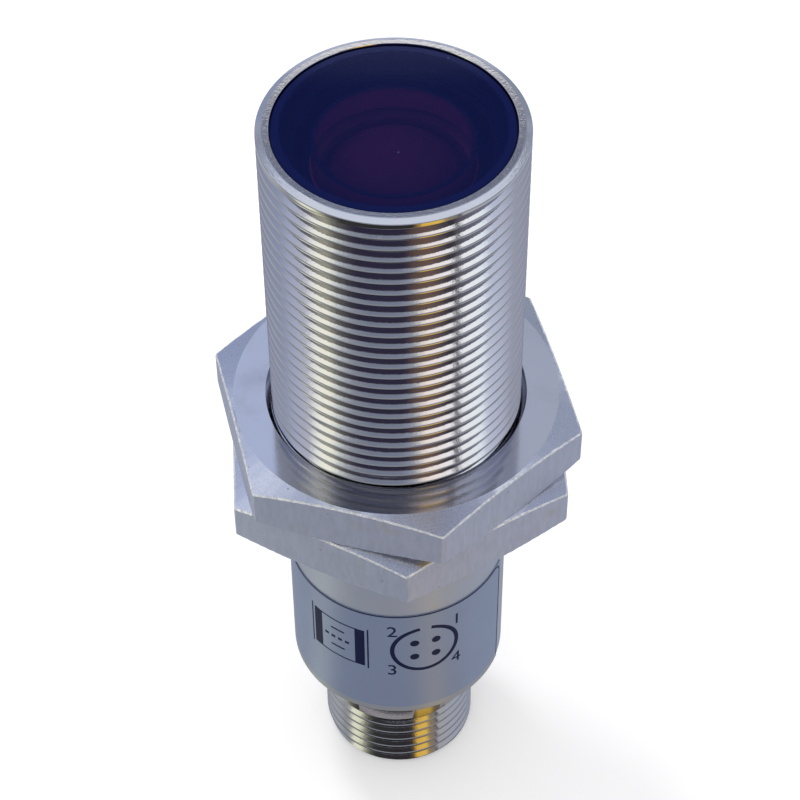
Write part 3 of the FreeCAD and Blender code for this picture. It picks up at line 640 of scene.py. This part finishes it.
class SENSOR_OT_barrel(bpy.types.Operator):
    """Builds the barrel with its real M18 thread, rim and bore"""

    bl_idname = "sensor.barrel"
    bl_label = "Threaded barrel"

    def execute(self, context):
        sizes = context.scene.sensor_barrel
        thread = context.scene.sensor_thread
        colours = context.scene.sensor_colours
        rear, top = (corner.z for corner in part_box("barrel"))
        slope = sizes.radius - sizes.rear_radius

        def wall(z):
            cone = sizes.rear_radius + (z - sizes.thread_foot).clip(0, slope)
            return np.minimum(sizes.radius, cone)

        def strength(z):
            return ((sizes.land_full - z) / (sizes.land_full - sizes.land_foot)).clip(0, 1)

        lathe = Lathe(column_angles(thread.columns))
        foot, land = lathe.thread(
            thread, sizes.thread_foot, sizes.land_full, sizes.crest_height, wall,
            sizes.radius, strength,
        )
        seat = top - sizes.seat_depth
        lip = rear + sizes.lip_thick
        profile = softened((
            (sizes.radius, sizes.land_full), (sizes.radius, top - sizes.bevel_drop),
            (sizes.radius - sizes.bevel_wide, top), (sizes.seat_radius, top),
            (sizes.seat_radius, seat), (sizes.bore_radius, seat),
            (sizes.bore_radius, lip), (sizes.lip_radius, lip), (sizes.lip_radius, rear),
            (sizes.rear_radius - sizes.rear_chamfer, rear),
            (sizes.rear_radius, rear + sizes.rear_chamfer),
            (sizes.rear_radius, sizes.thread_foot),
        ), sizes.soft)
        last = lathe.run(land, profile[1:-1])
        lathe.skin(last, foot, 1)
        finishes = [
            bright_nickel("bright_nickel", colours.nickel, colours.stain),
            satin_nickel(colours.rear_satin, tint(colours.stain, 0.75)),
        ]
        lathe.piece("threaded_barrel", BODY, finishes, "barrel", "plated_barrel", 12.0)
        return {"FINISHED"}


class SENSOR_OT_shell(bpy.types.Operator):
    """Builds the plug stub with its real M12 thread"""

    bl_idname = "sensor.shell"
    bl_label = "Plug stub"

    def execute(self, context):
        sizes = context.scene.sensor_shell
        thread = context.scene.sensor_thread
        colours = context.scene.sensor_colours
        start = sizes.chamfer / 4

        def wall(z):
            return sizes.radius - sizes.chamfer + z.clip(0, sizes.chamfer)

        def strength(z):
            fade = (sizes.land_full - z) / (sizes.land_full - sizes.land_foot)
            return np.minimum(fade.clip(0, 1), ((z - start) / start).clip(0, 1))

        lathe = Lathe(column_angles(thread.columns))
        foot, land = lathe.thread(
            thread, start, sizes.land_full, sizes.crest_height, wall, sizes.radius, strength,
        )
        groove = sizes.collar_foot + sizes.groove_inset
        groove_top = groove + sizes.groove_wide
        shell_top = sizes.collar_foot + sizes.collar_length
        profile = softened((
            (sizes.radius, sizes.land_full), (sizes.radius, sizes.stub_length),
            (sizes.neck_radius, sizes.stub_length), (sizes.neck_radius, sizes.collar_foot),
            (sizes.collar_radius, sizes.collar_foot), (sizes.collar_radius, groove),
            (sizes.groove_radius, groove), (sizes.groove_radius, groove_top),
            (sizes.collar_radius, groove_top), (sizes.collar_radius, shell_top),
            (sizes.insert_radius, shell_top), (sizes.insert_radius, sizes.socket_depth),
            (sizes.socket_radius, sizes.socket_depth), (sizes.socket_radius, sizes.socket_lead),
            (sizes.socket_radius + sizes.socket_lead, 0.0),
            (sizes.radius - sizes.chamfer, 0.0), (sizes.radius - sizes.chamfer + start, start),
        ), context.scene.sensor_barrel.soft)
        last = lathe.run(land, profile[1:-1])
        lathe.skin(last, foot)
        finish = bright_nickel("shell_nickel", tint(colours.nickel, 0.95), colours.stain, 0.3)
        lathe.piece("threaded_stub", BODY, [finish], "connector_shell", "plated_shell", 12.0)
        return {"FINISHED"}


class SENSOR_OT_nuts(bpy.types.Operator):
    """Builds both lock nuts: round face, turned chamfer, flats and burred edges"""

    bl_idname = "sensor.nuts"
    bl_label = "Lock nuts"

    # Each nut, and how far it is turned, in degrees.
    turns = (("upper_nut", 43.3), ("lower_nut", 32.7))
    points_per_side = 72

    def execute(self, context):
        sizes = context.scene.sensor_nuts
        colours = context.scene.sensor_colours
        finishes = [
            nut_face(colours.nut_nickel, colours.stain),
            nut_chamfer(colours.nut_nickel, colours.stain),
            nut_flat(colours.nut_satin, tint(colours.stain, 0.75)),
            nut_edge(colours.nut_nickel),
        ]
        for seed, (node, turn) in enumerate(self.turns):
            self.nut(sizes, node, math.radians(turn), seed, finishes)
        return {"FINISHED"}

    def nut(self, sizes, node, turn, seed, finishes):
        """One nut, at its CAD node's height and angle."""
        half = sizes.across_flats / 2
        sixth = math.radians(60)
        sharp_corner = half / math.cos(sixth / 2)
        worn = sixth / 2 - math.acos(half / (sharp_corner - sizes.corner_worn))
        within = np.linspace(worn, sixth - worn, self.points_per_side)
        angles = np.concatenate([within + sixth * side for side in range(6)])
        reach = half / np.cos(np.mod(angles, sixth) - sixth / 2)
        slope = sizes.corner_drop / (sharp_corner - sizes.face_radius)
        drop = (reach - sizes.face_radius) * slope
        foot, top = (corner.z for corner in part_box(node))
        mouth = sizes.bore_radius + sizes.lead
        draw = np.random.default_rng(seed)

        def inner():
            rough = draw.normal(0.0, 1.0, len(angles))
            return reach - sizes.edge + np.convolve(rough, (0.25, 0.5, 0.25), "same") * sizes.burr

        def steep():
            return sizes.edge * (0.6 + 0.4 * draw.random(len(angles)))

        face, chamfer, flat, edge = range(4)
        lathe = Lathe(angles + turn)
        start = last = lathe.row(sizes.bore_radius, foot + sizes.lead)
        for zone, *rows in (
            (face, (mouth, foot), (sizes.face_radius, foot)),
            (chamfer, (inner(), foot + drop)),
            (edge, (reach, foot + drop + steep())),
            (flat, (reach, top - drop - steep())),
            (edge, (inner(), top - drop)),
            (chamfer, (sizes.face_radius, top)),
            (face, (mouth, top), (sizes.bore_radius, top - sizes.lead)),
        ):
            last = lathe.run(last, rows, zone)
        lathe.skin(last, start, chamfer)
        lathe.piece(node + "_turned", node, finishes, node, "plated_nut", 8.0)


class SENSOR_OT_window(bpy.types.Operator):
    """Finishes the dark window and the lens behind it"""

    bl_idname = "sensor.window"
    bl_label = "Window and optics"

    def execute(self, context):
        colours = context.scene.sensor_colours
        give(window_finish(colours.window, colours.lens_coat), "front_window")
        give(lens_finish(colours.lens_coat), "objective_lens")
        give(moulding("black_moulding", colours.black), "optics_holder", "photodiode")
        give(moulding("ring_black", tint(colours.lens_coat, 1.8), 0.6), "lens_clamp_ring")
        give(glass_finish(), "beam_splitter")
        give(plain_metal("gold_can", colours.gold, 0.2), "laser_diode")
        give(plain_metal("bare_brass", colours.brass), "diode_clamp_ring")
        give(moulding("seal_rubber", (0.012, 0.012, 0.012), 0.6), "window_seal", "connector_seal")
        return {"FINISHED"}


class SENSOR_OT_electronics(bpy.types.Operator):
    """Finishes the boards, chips, sleeve and flexible strip"""

    bl_idname = "sensor.electronics"
    bl_label = "Boards and chips"

    def execute(self, context):
        colours = context.scene.sensor_colours
        give(
            board_finish(colours.board),
            "main_board", "front_board", "connector_board", "receiver_board",
        )
        give(
            moulding("chip_black", colours.black, 0.5, 0.12),
            "microcontroller", "laser_driver", "voltage_regulator", "surge_suppressor",
            "output_transistors",
        )
        give(moulding("capacitor_yellow", (0.62, 0.36, 0.03), 0.4), "supply_capacitor")
        give(moulding("ceramic_tan", (0.36, 0.22, 0.11), 0.35), "ceramic_capacitors")
        give(moulding("resistor_grey", (0.05, 0.05, 0.06), 0.3), "chip_resistors")
        give(moulding("flex_amber", (0.40, 0.14, 0.01), 0.3), "receiver_flex")
        give(film_finish(), "insulating_sleeve")
        return {"FINISHED"}


class SENSOR_OT_plug(bpy.types.Operator):
    """Finishes the contact carrier, pins and potting"""

    bl_idname = "sensor.plug"
    bl_label = "Plug contacts"

    def execute(self, context):
        colours = context.scene.sensor_colours
        give(moulding("carrier_black", colours.black, 0.38), "contact_carrier")
        give(plain_metal("gold_pins", colours.gold, 0.16), "contact_pins")
        give(moulding("potting_resin", (0.02, 0.02, 0.026), 0.12), "potting_plug")
        return {"FINISHED"}


def wrapped(work, label):
    """Bends flat ink from the foil's own plane round the foil and gives it its thickness."""
    reach = [vertex.co.x for vertex in work.verts]
    cuts = np.arange(min(reach), max(reach), label.ink_step)[1:]
    for cut in cuts:
        bmesh.ops.bisect_plane(
            work, geom=work.verts[:] + work.edges[:] + work.faces[:], dist=1e-8,
            plane_co=(cut, 0, 0), plane_no=(1, 0, 0),
        )
    for vertex in work.verts:
        angle = FRONT + vertex.co.x / label.radius
        height = label.foot + vertex.co.y
        vertex.co = (label.radius * math.cos(angle), label.radius * math.sin(angle), height)
    bmesh.ops.recalc_face_normals(work, faces=work.faces)
    lifted = bmesh.ops.extrude_face_region(work, geom=work.faces[:], use_keep_orig=True)
    for item in lifted["geom"]:
        if isinstance(item, bmesh.types.BMVert):
            item.co += Vector((item.co.x, item.co.y, 0)).normalized() * label.ink_thick
    bmesh.ops.recalc_face_normals(work, faces=work.faces)


def shape(work, corners):
    """One flat polygon of ink; corners are in millimetres along and up the foil."""
    work.faces.new([work.verts.new((across * MM, up * MM, 0)) for across, up in corners])


def bar(work, left, foot, right, top):
    """Upright rectangle of ink."""
    shape(work, ((left, foot), (right, foot), (right, top), (left, top)))


def ring(work, across, up, outer, inner, start=0.0, sweep=360.0, pieces=48):
    """Ring or arc of ink, in short quads."""
    turns = [math.radians(start + sweep * step / pieces) for step in range(pieces + 1)]
    for first, second in zip(turns, turns[1:]):
        shape(work, [
            (across + reach * math.cos(turn), up + reach * math.sin(turn))
            for reach, turn in ((inner, first), (outer, first), (outer, second), (inner, second))
        ])


def disc(work, across, up, radius, pieces=24):
    """Round dot of ink."""
    shape(work, [
        (across + radius * math.cos(turn), up + radius * math.sin(turn))
        for turn in (2 * math.pi * step / pieces for step in range(pieces))
    ])


def numeral(work, text, across, up, height):
    """A plain numeral of ink, centred on its place."""
    curve = bpy.data.curves.new("numeral", "FONT")
    curve.body = text
    curve.size = height * MM / 0.7
    curve.align_x = "CENTER"
    curve.resolution_u = 4
    holder = added("numeral", curve)
    bpy.context.view_layer.update()
    mesh = bpy.data.meshes.new_from_object(holder)
    mesh.transform(Matrix.Translation((across * MM, (up - height / 2) * MM, 0)))
    work.from_mesh(mesh)
    bpy.data.objects.remove(holder)
    bpy.data.curves.remove(curve)
    bpy.data.meshes.remove(mesh)


class SENSOR_OT_label(bpy.types.Operator):
    """Finishes the foil and prints its border, a beam symbol and a plug pin diagram"""

    bl_idname = "sensor.label"
    bl_label = "Label"

    def execute(self, context):
        label = context.scene.sensor_label
        colours = context.scene.sensor_colours
        give(foil_finish(colours.foil, colours.margin, label.foot + label.margin), "label")
        ink = ink_finish(colours.ink)
        for name, draw in (
            ("label_border", self.border), ("label_symbol", self.symbol), ("label_pins", self.pins),
        ):
            work = bmesh.new()
            draw(work, label)
            bmesh.ops.remove_doubles(work, verts=work.verts, dist=1e-7)
            wrapped(work, label)
            mesh = bpy.data.meshes.new(name)
            work.to_mesh(mesh)
            work.free()
            finish_piece(mesh, name, BODY, [ink], None)
        return {"FINISHED"}

    def border(self, work, label):
        """Line along the foil's top that turns down its right edge."""
        top = label.height / MM - 0.02
        right = label.right_edge / MM - 0.02
        line = label.line / MM
        corner = label.corner / MM
        bar(work, label.left_edge / MM, top - line, right - corner, top)
        ring(work, right - corner, top - corner, corner, corner - line, 0.0, 90.0, 12)
        bar(work, right - line, 0.3, right, top - corner)

    def symbol(self, work, label):
        """Frame with two heads and a dashed beam between them."""
        left, foot, right, top = -7.56, 5.36, -2.3, 10.3
        fine, gap, head, inset = 0.12, 0.32, 0.8, 0.25
        for edge in (left, right - fine):
            bar(work, edge, foot, edge + fine, top)
        for edge in (left + gap, right - gap - head):
            bar(work, edge, foot + inset, edge + head, top - inset)
        inner_left = left + gap + head
        inner_right = right - gap - head
        for up in (foot + inset, top - inset - fine):
            bar(work, inner_left, up, inner_right, up + fine)
        beam = (foot + top) / 2
        dash, pace, thick, apart, short, thin = 0.36, 0.62, 0.26, 1.05, 0.9, 0.16
        for step in range(4):
            start = inner_left + 0.3 + step * pace
            bar(work, start, beam - thick / 2, start + dash, beam + thick / 2)
        for middle in (beam - apart, beam + apart):
            bar(work, inner_left + short, middle - thin / 2, inner_right - short, middle + thin / 2)

    def pins(self, work, label):
        """Plug face with its coding notch, four numbered contacts and their circle."""
        across, up, reach, line, contact, numeral_tall = 2.1, 8.0, 2.75, 0.34, 0.36, 1.25
        ring(work, across, up, reach, reach - line, 100.0, 340.0, 64)
        for number, turn in enumerate((45, 135, 225, 315), start=1):
            right = math.cos(math.radians(turn))
            above = math.sin(math.radians(turn))
            disc(work, across + 1.2 * right, up + 1.2 * above, contact)
            numeral(work, str(number), across + 3.65 * right, up + 3.45 * above, numeral_tall)


class SENSOR_OT_stage(bpy.types.Operator):
    """Sets the camera, the pale floor, the surroundings and the lamps"""

    bl_idname = "sensor.stage"
    bl_label = "Stage"

    # What polished metal shows, by the way it faces: degrees right of the front, then red, green
    # and blue in hundredths. Upright metal shows low_streaks and, higher up, far_streaks, thread
    # flanks show high_streaks, and chamfers slope_streaks.
    low_streaks = (
        (-110, 46, 50, 64), (-90, 33, 35, 43), (-65, 40, 42, 45), (-55, 41, 43, 45),
        (-47, 30, 32, 34), (-43, 42, 43, 38), (-40, 90, 93, 72), (-34, 85, 88, 62),
        (-30, 35, 35, 26), (-26, 10, 10, 8), (-21, 3.5, 3.5, 3.5), (0, 2.8, 2.6, 2.8),
        (7, 3.5, 3, 3), (9, 20, 13, 5), (11, 80, 50, 7), (18, 86, 56, 10), (21, 30, 23, 12),
        (26, 22, 21, 20), (26.5, 5, 5, 5), (27.5, 5, 5, 5), (28, 42, 42, 43), (42, 40, 43, 49),
        (55, 39, 42, 49), (65, 36, 39, 46), (90, 33, 35, 43), (110, 46, 50, 64),
    )
    high_streaks = (
        (-110, 50, 54, 68), (-90, 28, 30, 38), (-65, 29, 34, 46), (-55, 42, 46, 59),
        (-47, 50, 52, 58), (-43, 85, 87, 84), (-40, 100, 100, 86), (-34, 100, 100, 82),
        (-31, 76, 80, 72), (-27, 46, 50, 52), (-22, 27, 29, 34), (-14, 19, 22, 28),
        (0, 20, 23, 30), (6, 31, 34, 40), (9, 66, 63, 58), (12, 100, 90, 80), (19, 100, 95, 90),
        (25.5, 100, 100, 100), (25.9, 3, 3, 4), (28.1, 3, 3, 4), (28.4, 100, 100, 100),
        (38, 93, 100, 100), (42, 88, 95, 100), (46, 58, 64, 76), (55, 50, 53, 65),
        (65, 35, 38, 46), (90, 28, 30, 38), (110, 50, 54, 68),
    )
    slope_streaks = (
        (-110, 28, 33, 46), (-64, 31, 37, 53), (-59, 42, 49, 68), (-55, 65, 74, 93),
        (-52, 100, 100, 100), (-47, 100, 100, 100), (-43, 60, 68, 84), (-38, 38, 44, 60),
        (-33, 26, 30, 40), (-17, 26, 30, 38), (0, 39, 42, 52), (8, 30, 33, 43), (13, 15, 16, 23),
        (19, 17, 19, 28), (28, 28, 31, 40), (45, 27, 30, 41), (80, 26, 30, 38), (110, 26, 30, 37),
    )
    far_streaks = (
        (-110, 46, 50, 64), (-75, 24, 27, 36), (-50, 24, 27, 34), (-44, 17, 18, 21),
        (-39, 52, 53, 42), (-34, 60, 60, 44), (-29, 22, 22, 19), (-23, 9, 8.5, 10),
        (-18, 4.7, 4.3, 8.3), (4, 4.7, 4.3, 8), (9, 19, 13, 10), (16, 26, 17, 13),
        (22, 14, 12, 13), (27, 5, 5, 6), (30, 17, 16, 19), (40, 27, 29, 36), (50, 32, 35, 43),
        (75, 27, 29, 37), (110, 46, 50, 64),
    )

    # Level faces to the left and right, the rim, upright metal's horizon, and bevels.
    face_left = (0.45, 0.51, 0.66)
    face_right = (0.39, 0.42, 0.49)
    rim_grey = (0.15, 0.17, 0.23)
    horizon = (0.26, 0.28, 0.31)
    bevel_light = (0.66, 0.72, 0.82)
    glow = 1.35

    # Tilts, in degrees above level, over which each layer takes over from the one below it.
    flank_tilts = (57, 58.6)
    bevel_tilts = (62.5, 63.5)
    slope_tilts = (66, 69)
    face_tilts = (76.5, 78)

    # The floor as polished metal sees it, in metres from the axis: a painted shadow, dark under
    # the part, a pale band that the stub's plain end shows, and the far streaks.
    under_part = (0.006, 0.012)
    band_start = (0.0098, 0.0101)
    band_end = (0.0108, 0.0110)
    far_start = (0.13, 0.20)

    def execute(self, context):
        stage = context.scene.sensor_stage
        self.camera(context, stage)
        self.floor(context, stage)
        self.world(context, stage)
        self.lamps(context, stage)
        context.scene.view_settings.view_transform = "Standard"
        return {"FINISHED"}

    def camera(self, context, stage):
        """Camera at the photograph's place."""
        camera = bpy.data.cameras.new("photo_camera")
        camera.lens = stage.lens
        camera.sensor_width = 36.0
        camera.clip_start = 0.01
        camera.clip_end = 10.0
        holder = added("photo_camera", camera)
        place = Vector((stage.camera_side, -stage.camera_back, stage.camera_height))
        ahead = (Vector((stage.camera_side, 0, stage.aim_height)) - place).normalized()
        right = Vector((1, 0, 0))
        up = right.cross(ahead)
        turned_right = right * math.cos(stage.roll) + up * math.sin(stage.roll)
        turned_up = up * math.cos(stage.roll) - right * math.sin(stage.roll)
        basis = Matrix((turned_right, turned_up, -ahead)).transposed()
        holder.matrix_world = Matrix.Translation(place) @ basis.to_4x4()
        context.scene.camera = holder

    def tones(self, finish, turn, streaks):
        """Colour of the surroundings for metal that faces turn, in radians right of the front."""
        stops = [
            (degrees / 360 + 0.5, [part / 100 for part in tone]) for degrees, *tone in streaks
        ]
        return finish.node("ValToRGB", {"stops": stops}, {0: turn / (2 * math.pi) + 0.5})

    def rise(self, stage):
        """The camera's angle above level."""
        return math.atan2(stage.camera_height - stage.aim_height, stage.camera_back)

    def floor(self, context, stage):
        """Pale floor; polished metal sees the surroundings in its place."""
        mesh = bpy.data.meshes.new("stage_floor")
        reach = stage.floor / 2
        corners = [(-reach, -reach, 0), (reach, -reach, 0), (reach, reach, 0), (-reach, reach, 0)]
        mesh.from_pydata(corners, [], [(0, 1, 2, 3)])
        added("stage_floor", mesh)
        finish = Finish("stage_floor", {
            "Base Color": (0.92, 0.92, 0.93), "Roughness": 1.0, "Specular IOR Level": 0.0,
            "Emission Color": (1.0, 1.0, 1.0), "Emission Strength": 0.25,
        })
        x, y, _ = finish.axes()
        azimuth = x.angle_from(y * -1.0)
        away = finish.radius()
        # Upright metal mirrors a floor that lies at up to twice the angle it faces.
        tones = self.tones(finish, azimuth / 2, self.low_streaks)
        far = self.tones(finish, azimuth / 1.62, self.far_streaks)
        shade = finish.mix(away.rise(*self.far_start), tones, far)
        # Painted shadow: the floor that metal sees is nearly black within 6 to 12 mm of the axis.
        shade = finish.mix(away.rise(*self.under_part), (0.01, 0.01, 0.01), shade)
        band = away.rise(*self.band_start) * (1.0 - away.rise(*self.band_end))
        shade = finish.mix(band * 0.95, shade, (0.32, 0.31, 0.32))
        glow = finish.node("Emission", {}, {"Color": shade, "Strength": self.glow})
        polished = finish.node("LightPath", output="Is Glossy Ray")
        both = finish.node("MixShader", {}, {0: polished})
        mixer = both.socket.node
        finish.tree.links.new(finish.shader.outputs[0], mixer.inputs[1])
        finish.tree.links.new(glow.socket, mixer.inputs[2])
        finish.tree.links.new(both.socket, finish.tree.nodes["Material Output"].inputs["Surface"])
        mesh.materials.append(finish.material)

    def world(self, context, stage):
        """White for the camera, the surroundings for polished metal, plain light for the rest.

        turn and tilt are the way that metal faces which mirrors a direction to the camera.
        """
        world = bpy.data.worlds.new("stage_world")
        world.use_nodes = True
        context.scene.world = world
        finish = Finish("stage_world", tree=world.node_tree)
        direction = finish.node("TexCoord", output="Generated")
        split = finish.node("SeparateXYZ", inputs={0: direction})
        x, y, up = [Value(finish, socket) for socket in split.socket.node.outputs]
        rise = self.rise(stage)
        ahead = y - math.cos(rise)
        above = up + math.sin(rise)
        turn = x.angle_from(ahead * -1.0)
        level = (x * x + ahead * ahead) ** 0.5
        tilt = above.angle_from(level)

        def past(angle, low, high):
            return angle.rise(math.radians(low), math.radians(high))

        aside = abs(turn)
        strip = past(tilt, 16, 20) * (1.0 - past(tilt, 44, 48)) * (1.0 - past(aside, 50, 70))
        slope = past(tilt, *self.slope_tilts) + past(tilt, 56, 58) * past(aside, 95, 105)
        white = ahead.rise(0.088, 0.098) * (1.0 - abs(x).rise(0.12, 0.20))
        faces = finish.mix(x.rise(-0.05, 0.05), self.face_left, self.face_right)
        faces = finish.mix(ahead.rise(0.038, 0.050), faces, self.rim_grey)
        tones = self.tones(finish, turn, self.low_streaks)
        for part, layer in (
            (strip, self.horizon),
            (past(tilt, *self.flank_tilts), self.tones(finish, turn, self.high_streaks)),
            (past(tilt, *self.bevel_tilts), self.bevel_light),
            (slope.at_most(1.0), self.tones(finish, turn, self.slope_streaks)),
            (past(tilt, *self.face_tilts), finish.mix(white, faces, (1.0, 1.0, 1.0))),
        ):
            tones = finish.mix(part, tones, layer)
        lit = finish.node("VectorMath", {"operation": "SCALE"}, {0: tones, "Scale": self.glow})
        camera = finish.node("LightPath", output="Is Camera Ray")
        paths = camera.socket.node.outputs
        glossy = Value(finish, paths["Is Glossy Ray"])
        seen = camera + Value(finish, paths["Is Transmission Ray"])
        plain = finish.mix(seen.at_most(1.0), (stage.ambient,) * 3, (1.0, 1.0, 1.0))
        both = finish.mix(glossy, plain, lit)
        background = world.node_tree.nodes["Background"]
        finish.link(both, background.inputs["Color"])
        background.inputs["Strength"].default_value = 1.0

    def lamps(self, context, stage):
        """Two wide soft lamps overhead, which polished metal doesn't mirror."""
        for name, place, wide, watts in (
            ("key_lamp", (-0.152, 0.190, 0.470), 0.12, stage.key),
            ("fill_lamp", (-0.05, -0.36, 0.34), 0.40, stage.fill),
        ):
            lamp = bpy.data.lights.new(name, "AREA")
            lamp.shape = "DISK"
            lamp.size = wide
            lamp.energy = watts
            holder = added(name, lamp)
            aim = Vector((0, 0, 0.03)) - Vector(place)
            turned = aim.to_track_quat("-Z", "Y").to_matrix().to_4x4()
            holder.matrix_world = Matrix.Translation(place) @ turned
            holder.visible_glossy = False


class SENSOR_PT_panel(bpy.types.Panel):
    """Sizes, colours and steps of the sensor"""

    bl_label = "Laser sensor"
    bl_idname = "SENSOR_PT_panel"
    bl_space_type = "VIEW_3D"
    bl_region_type = "UI"
    bl_category = "Sensor"

    def draw(self, context):
        for operator in OPERATORS:
            self.layout.operator(operator.bl_idname)
        for name in GROUPS:
            group = getattr(context.scene, name)
            box = self.layout.box()
            box.label(text=GROUPS[name].__name__)
            for key in group.bl_rna.properties.keys():
                if key not in ("rna_type", "name"):
                    box.prop(group, key)


GROUPS = {
    "sensor_thread": ThreadSizes,
    "sensor_barrel": BarrelSizes,
    "sensor_shell": ShellSizes,
    "sensor_nuts": NutSizes,
    "sensor_label": LabelSizes,
    "sensor_colours": Colours,
    "sensor_stage": StageSizes,
}
OPERATORS = (
    SENSOR_OT_barrel, SENSOR_OT_shell, SENSOR_OT_nuts, SENSOR_OT_window, SENSOR_OT_electronics,
    SENSOR_OT_plug, SENSOR_OT_label, SENSOR_OT_stage,
)


def register():
    for group in GROUPS.values():
        bpy.utils.register_class(group)
    for name, group in GROUPS.items():
        setattr(bpy.types.Scene, name, PointerProperty(type=group))
    for operator in OPERATORS:
        bpy.utils.register_class(operator)
    bpy.utils.register_class(SENSOR_PT_panel)


def unregister():
    bpy.utils.unregister_class(SENSOR_PT_panel)
    for operator in reversed(OPERATORS):
        bpy.utils.unregister_class(operator)
    for name in GROUPS:
        delattr(bpy.types.Scene, name)
    for group in reversed(GROUPS.values()):
        bpy.utils.unregister_class(group)


def main():
    register()
    bpy.ops.sensor.barrel()
    bpy.ops.sensor.shell()
    bpy.ops.sensor.nuts()
    bpy.ops.sensor.window()
    bpy.ops.sensor.electronics()
    bpy.ops.sensor.plug()
    bpy.ops.sensor.label()
    bpy.ops.sensor.stage()


if __name__ == "__main__":
    main()
